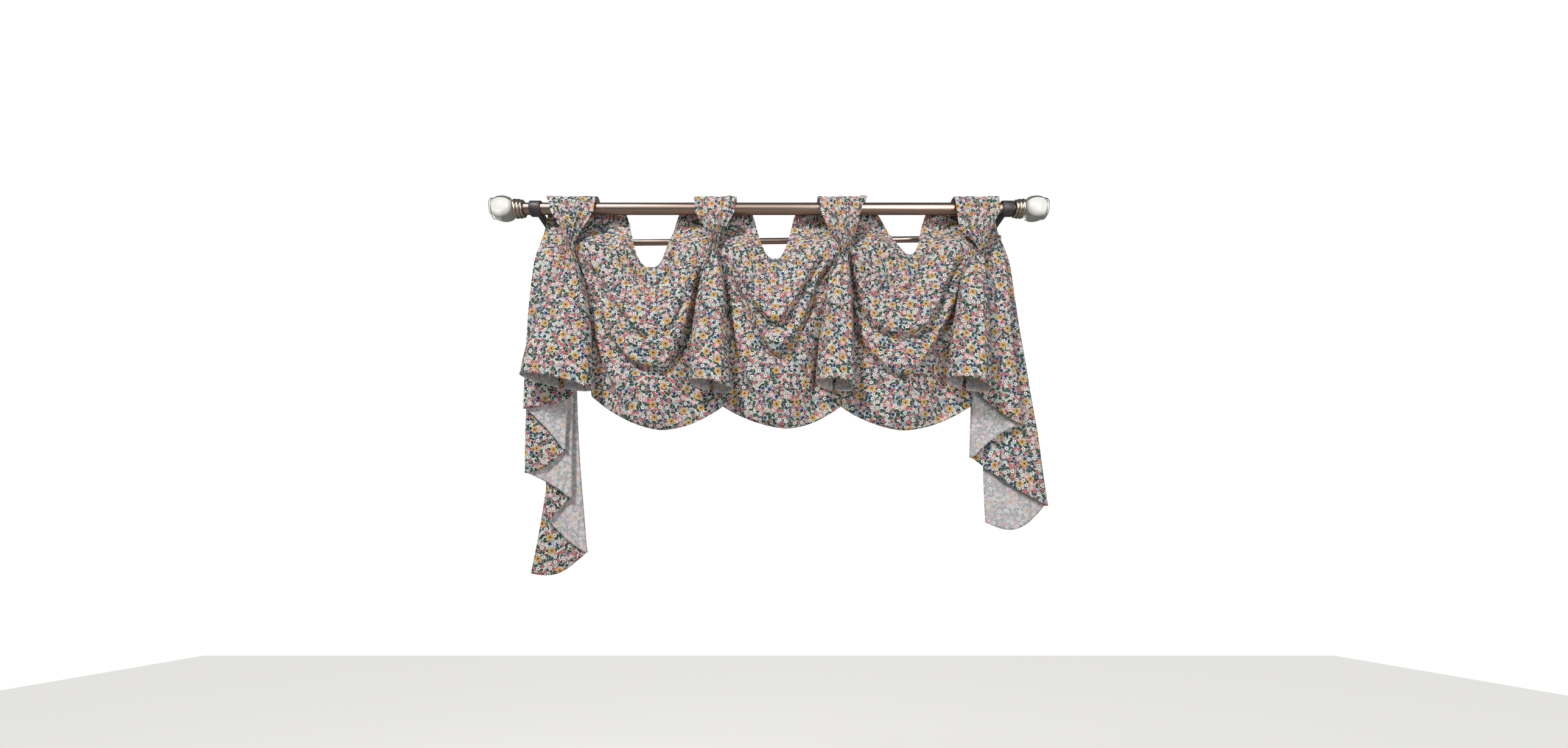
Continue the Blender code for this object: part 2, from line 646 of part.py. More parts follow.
def block(name, low, high, datum, finish):
    low, high = Vector(low), Vector(high)
    body = bmesh.new()
    bmesh.ops.create_cube(body, size=1.0)
    for vert in body.verts:
        vert.co = Vector(mix(a, b, part + 0.5) for a, b, part in zip(low, high, vert.co))
    return object_from(name, body, datum, finish)


def join(target, other, operation):
    """Adds or cuts another shape with a Boolean, and keeps that shape out of the part."""
    other.hide_render = True
    other.display_type = "WIRE"
    change = target.modifiers.new(f"{operation.lower()}_{other.name}", "BOOLEAN")
    change.operation = operation
    change.object = other


def turned(name, end_x, outward, profile, datum, finish):
    """A turned piece on the rod's axis, from a profile of distance out and radius."""
    body = bmesh.new()
    rings = []
    for out, radius in profile:
        ring = []
        for side in range(ROUND_SIDES):
            angle = outward * 2 * math.pi * side / ROUND_SIDES
            ring.append(body.verts.new((
                end_x + outward * out, ROD_Y + radius * math.cos(angle), radius * math.sin(angle),
            )))
        rings.append(ring)
    for inner, outer in zip(rings, rings[1:]):
        for side in range(ROUND_SIDES):
            after = (side + 1) % ROUND_SIDES
            body.faces.new((inner[side], inner[after], outer[after], outer[side]))
    body.faces.new(rings[0][::-1])
    body.faces.new(rings[-1])
    bmesh.ops.recalc_face_normals(body, faces=body.faces)
    made = object_from(name, body, datum, finish)
    made.data.shade_smooth()
    made.data.set_sharp_from_angle(angle=math.radians(35))
    return made


def make_bracket(bracket, datum, finish):
    """Wall plate, arm, and a ring for each rod, joined and bored."""
    x = bracket.x
    half_ring = RING_LENGTH / 2
    half_arm = ARM_WIDTH / 2
    front_bore = ROD_RADIUS + FIT_GAP
    rear_bore = REAR_ROD_RADIUS + FIT_GAP
    name = bracket.name
    made = block(
        name, (x - PLATE.x / 2, -PLATE.y, -PLATE.z / 2), (x + PLATE.x / 2, 0.0, PLATE.z / 2), datum, finish
    )
    arm = block(
        f"{name}_arm", (x - half_arm, ROD_Y + ROD_RADIUS, ARM_LOW), (x + half_arm, -PLATE.y / 2, ARM_HIGH),
        datum, finish,
    )
    hanger = block(
        f"{name}_hanger", (x - half_arm, REAR_ROD_Y - HANGER_DEPTH / 2, bracket.rear_z),
        (x + half_arm, REAR_ROD_Y + HANGER_DEPTH / 2, ARM_LOW + 0.002), datum, finish,
    )
    join(made, arm, "UNION")
    join(made, hanger, "UNION")
    for label, y, z, bore in (
        ("front", ROD_Y, 0.0, front_bore), ("rear", REAR_ROD_Y, bracket.rear_z, rear_bore),
    ):
        ring = tube(
            f"{name}_{label}_ring", bore + RING_WALL, (x - half_ring, y, z), (x + half_ring, y, z),
            datum, finish,
        )
        join(made, ring, "UNION")
    for label, y, z, bore in (
        ("front", ROD_Y, 0.0, front_bore), ("rear", REAR_ROD_Y, bracket.rear_z, rear_bore),
    ):
        cutter = tube(
            f"{name}_{label}_bore", bore, (x - RING_LENGTH, y, z), (x + RING_LENGTH, y, z), datum, finish
        )
        join(made, cutter, "DIFFERENCE")


def main():
    for existing in list(bpy.data.objects):
        bpy.data.objects.remove(existing)
    datum = bpy.data.objects.new("datum", None)
    datum.location = (-BRACKETS[0].x, 0.0, 0.0)
    bpy.context.scene.collection.objects.link(datum)

    rod_finish = material("pewter_lacquered_steel", "8A7568", 0.30, metallic=0.9)
    bracket_finish = material("dark_powder_coat", "3A3536", 0.45)
    collar_finish = material("brushed_nickel", "B5A795", 0.25, metallic=1.0)
    glass = material("clear_moulded_glass", "F4F4F0", 0.03, transmission=1.0)
    print_cotton = material("printed_cotton", "A9AFA2", 0.85)

    tube("rod_front", ROD_RADIUS, (ROD_LEFT, ROD_Y, 0.0), (ROD_RIGHT, ROD_Y, 0.0), datum, rod_finish)
    left, right = BRACKETS
    rise = (right.rear_z - left.rear_z) / (right.x - left.x)
    past = Vector((REAR_ROD_PAST_RING, 0.0, REAR_ROD_PAST_RING * rise))
    tube(
        "rod_rear", REAR_ROD_RADIUS, Vector((left.x, REAR_ROD_Y, left.rear_z)) - past,
        Vector((right.x, REAR_ROD_Y, right.rear_z)) + past, datum, rod_finish,
    )
    for bracket in BRACKETS:
        make_bracket(bracket, datum, bracket_finish)
    for side, end_x, outward in (("left", ROD_LEFT, -1), ("right", ROD_RIGHT, 1)):
        turned(f"collar_{side}", end_x, outward, COLLAR_PROFILE, datum, collar_finish)
        turned(f"knob_{side}", end_x, outward, KNOB_PROFILE, datum, glass)

    for swag in SWAGS:
        cloth_sheet(swag.name, swag_grid(swag, SWAG_COLUMNS, SWAG_ROWS), datum, print_cotton)
    for horn in HORNS:
        cloth_sheet(horn.name, horn_grid(horn, HORN_COLUMNS, HORN_STEPS), datum, print_cotton)
    for tail in TAILS:
        cloth_sheet(tail.name, tail_grid(tail, TAIL_ROWS), datum, print_cotton)


if __name__ == "__main__":
    main()
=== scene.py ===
"""A window swag of printed cotton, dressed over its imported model.

Three draped panels hang between four horns on the front rod of a double curtain rod, with a
folded cascade at each end. Metres, +Z up, the room on the -Y side, the origin on the back face of
the left wall plate. Tables give x from the middle of the rods, and FROM_PLATE moves them over.
"""

import math
from collections import namedtuple

import bmesh
import bpy
from mathutils import Matrix, Vector, noise


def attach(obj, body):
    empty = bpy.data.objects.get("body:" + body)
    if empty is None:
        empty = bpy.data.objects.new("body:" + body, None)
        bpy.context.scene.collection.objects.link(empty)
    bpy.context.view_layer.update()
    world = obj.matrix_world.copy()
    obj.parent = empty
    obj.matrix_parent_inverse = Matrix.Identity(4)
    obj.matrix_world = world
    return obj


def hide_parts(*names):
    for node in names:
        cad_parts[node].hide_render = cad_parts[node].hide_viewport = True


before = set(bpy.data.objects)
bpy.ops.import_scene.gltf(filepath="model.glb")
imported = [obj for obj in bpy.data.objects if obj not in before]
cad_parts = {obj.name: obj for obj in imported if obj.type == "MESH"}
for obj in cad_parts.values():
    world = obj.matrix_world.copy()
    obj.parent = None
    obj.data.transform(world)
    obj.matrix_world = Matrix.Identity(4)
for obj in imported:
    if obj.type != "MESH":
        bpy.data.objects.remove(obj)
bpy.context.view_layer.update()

bl_info = {
    "name": "Window swag",
    "version": (1, 0, 0),
    "blender": (4, 5, 0),
    "location": "3D View > Sidebar > Swag",
    "description": "Drapes a printed cotton window swag over a double curtain rod",
    "category": "Object",
}

FROM_PLATE = Vector((0.5055, 0.0, 0.0))

# Rods, brackets and finials
ROD_Y = -0.150
ROD_RADIUS = 0.0125
ROD_LEFT = -0.5302
ROD_RIGHT = 0.5312
REAR_ROD_Y = -0.065
REAR_ROD_RADIUS = 0.007
REAR_ROD_PAST_RING = 0.020
FIT_GAP = 0.0005
RING_LENGTH = 0.024
RING_WALL = 0.0035
PLATE = Vector((0.024, 0.003, 0.070))
ARM_WIDTH = 0.010
ARM_LOW = -0.006
ARM_HIGH = 0.008
HANGER_DEPTH = 0.012
HANGER_LEAST = 0.004
HANGER_INTO_ARM = 0.002
ROD_END_SOFT = 0.0006
PLATE_SOFT = 0.0008
ARM_SOFT = 0.0012
HANGER_SOFT = 0.0010

# Shares of a ring's wall: its rounding, the corner's cut, and how far arm and hanger reach in
RING_SOFT = 0.45
RING_CORNER = 0.3
ARM_FROM_BORE = 0.4
HANGER_FROM_BORE = 0.3
ROUND_SIDES = 72

# Angles in degrees over which an edge stays sharp
ROD_SHARP = 30
BRACKET_SHARP = 40
FINIAL_SHARP = 60

Bracket = namedtuple("Bracket", "name x rear_z")
BRACKETS = (
    Bracket("bracket_left", -0.5055, -0.031),
    Bracket("bracket_right", 0.5170, -0.018),
)

# Turned profiles: distance out from the rod's end, and radius
COLLAR_PROFILE = (
    (0.0003, 0.0125), (0.0008, 0.0150), (0.0022, 0.0176), (0.0038, 0.0186), (0.0052, 0.0182),
    (0.0064, 0.0166), (0.0072, 0.0162), (0.0080, 0.0172), (0.0094, 0.0194), (0.0110, 0.0200),
    (0.0126, 0.0194), (0.0138, 0.0176), (0.0146, 0.0168), (0.0154, 0.0178), (0.0168, 0.0198),
    (0.0186, 0.0204), (0.0204, 0.0199), (0.0216, 0.0184), (0.0228, 0.0166), (0.0235, 0.0150),
)
KNOB_PROFILE = (
    (0.0238, 0.0140), (0.0242, 0.0160), (0.0262, 0.0190), (0.0290, 0.0218), (0.0330, 0.0242),
    (0.0380, 0.0258), (0.0440, 0.0266), (0.0500, 0.0264), (0.0555, 0.0254), (0.0600, 0.0238),
    (0.0628, 0.0222), (0.0640, 0.0216), (0.0652, 0.0220), (0.0668, 0.0224), (0.0690, 0.0220),
    (0.0706, 0.0206), (0.0716, 0.0180), (0.0721, 0.0130), (0.0722, 0.0060),
)

# Where the cloth hangs
BEHIND_ROD_Y = -0.1285
CLOTH_TOP_Z = 0.004
SEAM_GAP = 0.0006
GATHER_Y = -0.1595
JOINT_Y = -0.1550

# A fold runs from its place down the left gather, through the middle, to the right one. A valley
# is a sharp line with a rounded ridge on its neckline side, drawn from left to right as (x, z).
Place = namedtuple("Place", "x z")
Fold = namedtuple("Fold", "left middle right rise width")
Valley = namedtuple("Valley", "ridge drop spread line")
Swag = namedtuple(
    "Swag",
    "name left_knot right_knot neck_left neck_right neck_low neck_round"
    " left_joint right_joint hem_low left_bell right_bell folds valleys flat_size flat_area",
)
KNOTS = (Place(-0.4195, -0.101), Place(-0.1165, -0.102), Place(0.1625, -0.106), Place(0.4500, -0.105))
JOINTS = (Place(-0.3605, -0.425), Place(-0.0930, -0.446), Place(0.1460, -0.446), Place(0.4115, -0.445))
SWAGS = (
    Swag(
        "swag_1", KNOTS[0], KNOTS[1], -0.3200, -0.1940, Place(-0.2510, -0.135), 3.0,
        JOINTS[0], JOINTS[1], Place(-0.2150, -0.497), -0.3487, -0.1580,
        (
            Fold(0.06, 0.065, 0.07, 0.006, 0.040), Fold(0.20, 0.22, 0.20, 0.008, 0.050),
            Fold(0.34, 0.37, 0.36, 0.009, 0.050), Fold(0.50, 0.53, 0.50, 0.013, 0.055),
            Fold(0.66, 0.72, 0.70, 0.007, 0.060), Fold(0.84, 0.86, 0.84, 0.003, 0.070),
            Fold(0.14, 0.16, 0.13, 0.003, 0.018), Fold(0.29, 0.28, 0.26, 0.002, 0.016),
            Fold(0.45, 0.44, 0.43, 0.003, 0.018), Fold(0.60, 0.63, 0.62, 0.003, 0.020),
        ),
        (
            Valley(0.0120, 0.0100, 0.016, (
                (-0.400, -0.118), (-0.370, -0.147), (-0.347, -0.177), (-0.322, -0.218),
                (-0.293, -0.263), (-0.263, -0.297), (-0.236, -0.318),
            )),
            Valley(0.0135, 0.0135, 0.021, (
                (-0.330, -0.290), (-0.301, -0.333), (-0.275, -0.360), (-0.246, -0.372),
                (-0.218, -0.374), (-0.196, -0.355), (-0.184, -0.325), (-0.173, -0.290),
                (-0.164, -0.250), (-0.158, -0.205), (-0.152, -0.165), (-0.142, -0.125),
            )),
            Valley(0.0051, 0.0051, 0.010, (
                (-0.322, -0.060), (-0.298, -0.122), (-0.280, -0.156), (-0.257, -0.176),
                (-0.232, -0.176), (-0.213, -0.141), (-0.206, -0.097), (-0.196, -0.050),
            )),
            Valley(0.0076, 0.0059, 0.013, (
                (-0.385, -0.213), (-0.374, -0.255), (-0.362, -0.295), (-0.349, -0.331),
                (-0.332, -0.369), (-0.312, -0.405), (-0.298, -0.440),
            )),
            Valley(0.0059, 0.0051, 0.012, (
                (-0.225, -0.295), (-0.200, -0.278), (-0.186, -0.245), (-0.172, -0.190),
                (-0.158, -0.145), (-0.146, -0.118),
            )),
        ),
        (0.45, 0.53), 0.155,
    ),
    Swag(
        "swag_2", KNOTS[1], KNOTS[2], -0.0400, 0.0625, Place(0.0120, -0.115), 3.0,
        JOINTS[1], JOINTS[2], Place(0.0330, -0.494), -0.0735, 0.0938,
        (
            Fold(0.10, 0.10, 0.10, 0.006, 0.040), Fold(0.22, 0.24, 0.21, 0.009, 0.050),
            Fold(0.34, 0.37, 0.33, 0.012, 0.050), Fold(0.50, 0.52, 0.49, 0.011, 0.050),
            Fold(0.68, 0.73, 0.68, 0.007, 0.060), Fold(0.85, 0.86, 0.85, 0.003, 0.060),
            Fold(0.16, 0.17, 0.15, 0.002, 0.016), Fold(0.29, 0.30, 0.27, 0.003, 0.018),
            Fold(0.43, 0.44, 0.42, 0.003, 0.018), Fold(0.62, 0.63, 0.60, 0.003, 0.020),
        ),
        (
            Valley(0.0125, 0.0120, 0.018, (
                (-0.106, -0.110), (-0.083, -0.130), (-0.065, -0.158), (-0.045, -0.200),
                (-0.029, -0.233), (-0.012, -0.260), (0.006, -0.277), (0.024, -0.274), (0.038, -0.255),
                (0.052, -0.230), (0.065, -0.203), (0.080, -0.174), (0.094, -0.145), (0.120, -0.115),
            )),
            Valley(0.0115, 0.0130, 0.019, (
                (-0.090, -0.138), (-0.074, -0.168), (-0.052, -0.210), (-0.036, -0.250),
                (-0.022, -0.288), (-0.010, -0.318), (0.006, -0.342), (0.024, -0.340), (0.042, -0.318),
                (0.060, -0.290), (0.076, -0.258), (0.088, -0.222), (0.102, -0.180), (0.118, -0.150),
                (0.136, -0.128),
            )),
            Valley(0.0085, 0.0068, 0.014, (
                (-0.108, -0.130), (-0.094, -0.170), (-0.085, -0.215), (-0.078, -0.265),
                (-0.067, -0.310), (-0.058, -0.350), (-0.046, -0.389), (-0.036, -0.430),
            )),
            Valley(0.0068, 0.0059, 0.012, (
                (0.086, -0.430), (0.090, -0.395), (0.094, -0.360), (0.102, -0.322), (0.110, -0.285),
            )),
            Valley(0.0043, 0.0043, 0.009, (
                (-0.030, -0.060), (-0.012, -0.110), (0.005, -0.140), (0.024, -0.140), (0.040, -0.105),
                (0.052, -0.060),
            )),
        ),
        (0.43, 0.53), 0.149,
    ),
    Swag(
        "swag_3", KNOTS[2], KNOTS[3], 0.2340, 0.3520, Place(0.3050, -0.106), 2.2,
        JOINTS[2], JOINTS[3], Place(0.2680, -0.498), 0.1695, 0.3514,
        (
            Fold(0.10, 0.10, 0.10, 0.007, 0.042), Fold(0.27, 0.28, 0.26, 0.010, 0.050),
            Fold(0.44, 0.46, 0.42, 0.012, 0.052), Fold(0.57, 0.60, 0.56, 0.011, 0.050),
            Fold(0.76, 0.78, 0.75, 0.006, 0.055), Fold(0.90, 0.89, 0.88, 0.003, 0.050),
            Fold(0.19, 0.20, 0.18, 0.003, 0.018), Fold(0.35, 0.37, 0.34, 0.003, 0.018),
            Fold(0.52, 0.53, 0.50, 0.003, 0.018), Fold(0.68, 0.70, 0.67, 0.003, 0.020),
        ),
        (
            Valley(0.0120, 0.0120, 0.018, (
                (0.172, -0.125), (0.181, -0.175), (0.187, -0.214), (0.196, -0.249), (0.210, -0.278),
                (0.236, -0.298), (0.266, -0.306), (0.298, -0.296), (0.322, -0.279), (0.338, -0.255),
                (0.352, -0.228), (0.362, -0.203), (0.374, -0.174), (0.389, -0.148), (0.404, -0.125),
                (0.425, -0.112),
            )),
            Valley(0.0068, 0.0051, 0.010, (
                (0.176, -0.115), (0.189, -0.130), (0.204, -0.160), (0.212, -0.190), (0.219, -0.225),
            )),
            Valley(0.0059, 0.0051, 0.009, (
                (0.205, -0.075), (0.215, -0.115), (0.224, -0.150), (0.233, -0.186), (0.238, -0.220),
            )),
            Valley(0.0120, 0.0120, 0.017, (
                (0.174, -0.200), (0.180, -0.250), (0.186, -0.290), (0.202, -0.330), (0.225, -0.365),
                (0.252, -0.385), (0.278, -0.388), (0.302, -0.368), (0.328, -0.332), (0.354, -0.290),
                (0.376, -0.256), (0.393, -0.215), (0.404, -0.175), (0.416, -0.142),
            )),
            Valley(0.0051, 0.0068, 0.012, (
                (0.248, -0.150), (0.267, -0.187), (0.284, -0.195), (0.297, -0.183), (0.311, -0.153),
                (0.328, -0.122), (0.342, -0.090), (0.350, -0.050),
            )),
        ),
        (0.45, 0.53), 0.158,
    ),
)
SWAG_COLUMNS = 160
SWAG_ROWS = 190
SEAM_SHARE = 0.3
HEM_ROUND = 1.7
FLARE_POWER = 0.6
BELLY_POWER = 1.2
FORWARD_FROM_Z = -0.030
FORWARD_AT_Z = -0.100
FOLD_LEAN = 0.25
FOLD_LEFT_BESIDE_BELL = 0.12
FOLD_FADE_POWER = 0.7
FOLD_LOST_AT_HEM = 0.7
FOLD_LOST_FROM = 0.92
VALLEY_POINTS = 30
VALLEY_EDGE = 0.0040
VALLEY_AT_KNOT = 0.55
VALLEY_FULL_FROM_KNOT = 0.090
VALLEY_LEFT_BESIDE_BELL = 0.35
VALLEY_FADE_POWER = 0.3
VALLEY_ENDS = 0.06
GROOVE_SHARE = 0.65
GROOVE_BELOW = 0.0035
GROOVE_WIDTH = 0.0042
LINE_POINTS = 60

# A rung is one line across a swag, from gather to gather. Down is 0 at the neckline and 1 at the
# hem. Reach and drop lead its ends from the neckline's corners to the knots.
Rung = namedtuple("Rung", "down reach drop round power forward")
RUNGS = (
    Rung(0.00, 0.00, 0.00, 0.0, 2.1, -0.146),
    Rung(0.08, 0.42, 0.00, 2.0, 1.5, -0.153),
    Rung(0.17, 0.88, 0.00, 1.8, 1.2, -0.162),
    Rung(0.26, 0.95, 0.90, 1.7, 1.0, -0.172),
    Rung(0.40, 0.97, 1.00, 1.8, 1.0, -0.182),
    Rung(0.65, 0.98, 1.00, 2.2, 1.0, -0.188),
    Rung(0.85, 0.99, 1.00, 3.0, 1.0, -0.178),
    Rung(1.00, 1.00, 1.00, 4.0, 1.0, -0.168),
)

# Small pleats fan out of each knot, and fade over their reach.
KNOT_PLEATS = 7
KNOT_PLEAT_RISE = 0.0052
KNOT_PLEAT_STARTS = 0.016
KNOT_PLEAT_REACH = 0.100
KNOT_PLEAT_UNEVEN = 0.05
KNOT_PLEAT_SHIFT = 9
KNOT_PLEATS_AT_Z = -0.05

# Fine creases as noise: how fast it changes along and across the folds, and its share of the depth
Crease = namedtuple("Crease", "along across share")
CREASES = (Crease(2.6, 17, 0.9), Crease(7.0, 34, 0.45))
CREASE_SEED_STEP = 7
CREASE_LEFT_BESIDE_BELL = 0.3

# Horns. Each row is one line across a horn, from behind the rod to the bell's hem. Wrap is how
# far the sides curl back towards each other, in degrees each way from the front. Narrowing is 0
# over the rod, 1 just below it and 2 above the knot.
HornRow = namedtuple("HornRow", "y z depth wrap pleat flute")
LoopRow = namedtuple("LoopRow", "y z depth wrap pleat flute narrowing")
FullRow = namedtuple("FullRow", "y z depth wrap pleat flute left right")
LOOP_ROWS = (
    LoopRow(-0.1335, -0.0040, 0.000, 10, 0.0000, 0.0000, 0.0),
    LoopRow(-0.1340, 0.0080, 0.000, 10, 0.0000, 0.0000, 0.0),
    LoopRow(-0.1370, 0.0200, 0.000, 10, 0.0006, 0.0000, 0.0),
    LoopRow(-0.1500, 0.0240, 0.000, 10, 0.0010, 0.0000, 0.0),
    LoopRow(-0.1640, 0.0195, 0.000, 10, 0.0016, 0.0000, 0.0),
    LoopRow(-0.1690, 0.0040, 0.000, 10, 0.0024, 0.0000, 0.5),
    LoopRow(-0.1700, -0.0200, 0.000, 15, 0.0046, 0.0000, 1.0),
    LoopRow(-0.1730, -0.0600, 0.002, 35, 0.0062, 0.0000, 2.0),
)
KNOT_ROW = HornRow(-0.1780, 0.0, 0.006, 60, 0.0050, 0.0000)
BELL_ROWS = (
    HornRow(-0.1830, -0.130, 0.011, 110, 0.0062, 0.0012),
    HornRow(-0.1900, -0.170, 0.021, 150, 0.0056, 0.0044),
    HornRow(-0.1990, -0.220, 0.032, 170, 0.0034, 0.0068),
    HornRow(-0.2070, -0.280, 0.041, 174, 0.0012, 0.0070),
    HornRow(-0.2150, -0.340, 0.049, 175, 0.0004, 0.0070),
    HornRow(-0.2220, 0.0, 0.056, 175, 0.0000, 0.0064),
)
KNOT_HALF_WIDTH = 0.0080
HEM_CURL_DROP = 0.008
HORN_COLUMNS = 110
HORN_STEPS = 160
ROUTE_POINTS = 400
LOOP_UNEVEN = 0.0040
LOOP_UNEVEN_ROWS = 4
HORN_CREASE_SHARE = 0.7
HORN_CREASE_LOST_BEHIND = 0.6
FLUTE_DIP_AT_HEM = 0.6

# Pleats and broad flutes across a horn: place from -1 to 1, half width, and share of the rise.
# The pleats rise and sink about a level, so that a horn keeps its depth.
Pleat = namedtuple("Pleat", "across width rise")
HORN_PLEATS = (
    Pleat(-0.74, 0.085, 0.9), Pleat(-0.40, 0.080, 1.1), Pleat(-0.05, 0.090, 0.8),
    Pleat(0.32, 0.080, 1.2), Pleat(0.70, 0.085, 0.9),
)
PLEAT_LEVEL = 0.33

Edges = namedtuple("Edges", "left right")
Horn = namedtuple(
    "Horn", "name knot top rod_bottom above_knot bell hem_left_z hem_right_z flutes flat_size flat_area"
)
HORNS = (
    Horn(
        "horn_1", KNOTS[0], Edges(-0.4800, -0.3710), Edges(-0.4653, -0.3765), Edges(-0.4425, -0.3965),
        (
            Edges(-0.4310, -0.4030), Edges(-0.4370, -0.3890), Edges(-0.4540, -0.3720),
            Edges(-0.4700, -0.3605), Edges(-0.4845, -0.3535), Edges(-0.4915, -0.3487),
        ),
        -0.388, -0.417, (Pleat(-0.30, 0.10, 0.8), Pleat(0.05, 0.13, 0.5), Pleat(0.36, 0.08, 1.0)),
        (0.31, 0.52), 0.081,
    ),
    Horn(
        "horn_2", KNOTS[1], Edges(-0.1618, -0.0703), Edges(-0.1568, -0.0745), Edges(-0.1360, -0.0940),
        (
            Edges(-0.1290, -0.1030), Edges(-0.1380, -0.0950), Edges(-0.1460, -0.0880),
            Edges(-0.1530, -0.0850), Edges(-0.1560, -0.0800), Edges(-0.1580, -0.0735),
        ),
        -0.402, -0.419, (Pleat(-0.22, 0.09, 0.7), Pleat(0.20, 0.10, 1.0)),
        (0.25, 0.52), 0.065,
    ),
    Horn(
        "horn_3", KNOTS[2], Edges(0.1062, 0.2123), Edges(0.1124, 0.1960), Edges(0.1285, 0.1863),
        (
            Edges(0.1420, 0.1680), Edges(0.1260, 0.1690), Edges(0.1170, 0.1700),
            Edges(0.1080, 0.1705), Edges(0.0985, 0.1704), Edges(0.0938, 0.1695),
        ),
        -0.403, -0.413, (Pleat(-0.18, 0.10, 0.8), Pleat(0.30, 0.08, 1.0)),
        (0.25, 0.52), 0.065,
    ),
    Horn(
        "horn_4", KNOTS[3], Edges(0.3994, 0.4976), Edges(0.4025, 0.4927), Edges(0.4086, 0.4716),
        (
            Edges(0.4230, 0.4520), Edges(0.4010, 0.4500), Edges(0.3890, 0.4497),
            Edges(0.3750, 0.4470), Edges(0.3630, 0.4435), Edges(0.3514, 0.4356),
        ),
        -0.396, -0.417, (Pleat(-0.26, 0.10, 1.0), Pleat(0.14, 0.09, 0.7)),
        (0.27, 0.52), 0.069,
    ),
)

# Cascades. A row is one upright fold line: where it is at the top, half way and at the hem.
# Bulge is how far the hem after that line hangs below the straight line to the next.
Line = namedtuple("Line", "top_x middle_x hem_x hem_z bulge")
Flute = namedtuple("Flute", "x lean width rise")
Tail = namedtuple("Tail", "name lines top_step hem_step flutes flat_size flat_area")
TAILS = (
    Tail(
        "tail_left",
        (
            Line(-0.4240, -0.4140, -0.3970, -0.426, 0.005), Line(-0.4890, -0.5020, -0.4970, -0.450, -0.004),
            Line(-0.4240, -0.4180, -0.4100, -0.533, 0.011), Line(-0.4885, -0.5015, -0.4900, -0.580, -0.004),
            Line(-0.4240, -0.4120, -0.3960, -0.630, -0.003), Line(-0.4880, -0.4700, -0.4470, -0.677, 0.005),
            Line(-0.4240, -0.4080, -0.3640, -0.738, 0.020), Line(-0.4870, -0.4500, -0.4740, -0.779, 0.000),
        ),
        0.0030, 0.0075,
        (Flute(-0.4720, 0.000, 0.010, 0.0030), Flute(-0.4330, 0.012, 0.009, -0.0025)),
        (0.58, 0.79), 0.324,
    ),
    Tail(
        "tail_right",
        (
            Line(0.4560, 0.4435, 0.4280, -0.420, 0.006), Line(0.4985, 0.5045, 0.5100, -0.484, -0.008),
            Line(0.4550, 0.4300, 0.4065, -0.548, 0.007), Line(0.5025, 0.5370, 0.5610, -0.645, 0.030),
            Line(0.4560, 0.4450, 0.4350, -0.678, 0.000),
        ),
        0.0036, 0.0110,
        (
            Flute(0.4620, 0.000, 0.008, 0.0045), Flute(0.4800, 0.030, 0.009, 0.0050),
            Flute(0.4960, 0.055, 0.010, 0.0040),
        ),
        (0.43, 0.69), 0.206,
    ),
)
TAIL_FRONT_Y = -0.1580
TAIL_SPREAD_FROM_Z = -0.020
TAIL_FORWARD_AT_Z = -0.140
TAIL_SPREAD_AT_Z = -0.300
TAIL_FLUTES_FROM_Z = -0.03
TAIL_FLUTES_AT_Z = -0.16
FLUTE_WIDENS = 1.5
TAIL_ROWS = 120
STRAIGHT_COLUMNS = 24
ARC_COLUMNS = 8

# Seeds of the uneven creases: the first piece of a kind, and the step to the next
SWAG_SEEDS = (0, 13.7)
HORN_SEEDS = (100, 5.3)
TAIL_SEEDS = (200, 3.1)

# Cloth finish. The doubled hem thins to one layer between two shares of the hem's width.
HEM_THINS = (0.9, 1.15)
HEM_SHARE_OF_THICKNESS = 0.45
UNROLL_STEP = 3
UNROLL_ROUNDS = 12

# The print. Sizes are in millimetres on the flat cloth. A kind grows in a share of its cells.
Leaf = namedtuple("Leaf", "cell share length width rim leaf_hex rim_hex rib_hex")
Motif = namedtuple(
    "Motif", "cell share petals radius waist outline petal_hex rim_hex centre centre_hex vein vein_hex"
)
PRINT = (
    Leaf(10.5, 0.85, 6.0, 1.8, 0.0, "AFC0B4", "AFC0B4", "D6DCD0"),
    Leaf(12.5, 0.70, 6.8, 2.1, 0.3, "7F9A8A", "E4E8DC", "D0DACB"),
    Motif(12.0, 0.45, 5, 2.8, 0.44, 0.4, "DE949B", "EFEDE4", 0.6, "F1D9C8", 0.14, "E9C9C8"),
    Motif(19.5, 0.90, 5, 6.2, 0.72, 0.6, "9AABBA", "E9EAE6", 1.6, "3B4650", 0.30, "DFE2DE"),
    Leaf(11.2, 0.98, 7.8, 2.5, 0.45, "112C24", "E6E9DD", "7E9686"),
    Motif(13.5, 0.70, 5, 3.9, 0.34, 0.4, "C23A4A", "EFEDE4", 0.7, "F3CDB8", 0.12, "8E2B38"),
    Motif(13.0, 0.72, 5, 4.2, 0.34, 0.4, "193A78", "EFEDE4", 0.7, "101C3A", 0.12, "16305F"),
    Leaf(12.5, 0.94, 8.0, 2.5, 0.45, "1A4232", "E6E9DD", "9FB29D"),
    Motif(12.5, 0.40, 5, 3.8, 0.36, 0.5, "C8464F", "F2EFE8", 0.7, "F3CDB8", 0.12, "9C303C"),
    Motif(33.0, 0.66, 10, 5.4, 0.60, 0.7, "CF5564", "F2EFE8", 0.9, "C9505D", 0.42, "F4F1EA"),
    Motif(17.5, 0.66, 5, 4.3, 0.62, 0.8, "F6F4EE", "0F1217", 1.2, "0F1116", 0.10, "A9AAA8"),
    Motif(33.0, 0.68, 5, 6.8, 0.62, 0.6, "DCAC62", "EFE6CF", 1.6, "241C18", 0.36, "AE7434"),
)
GROUND_HEX = "E0E0D6"
REVERSE_HEX = "E4E3E6"
REVERSE_GREYED = 0.56
CELL_RANDOMNESS = 0.72
PRINT_EDGE = 0.3
LEAF_SPREAD = math.radians(38)
RIB_HALF_WIDTH = 0.12

# Pale stems wind where a broad noise crosses its middle. Width and edge are in the noise's height.
STEM_HEX = "D5DCCD"
STEM_BEND = 17.0
STEM_HALF_WIDTH = 0.016
STEM_EDGE = 0.01

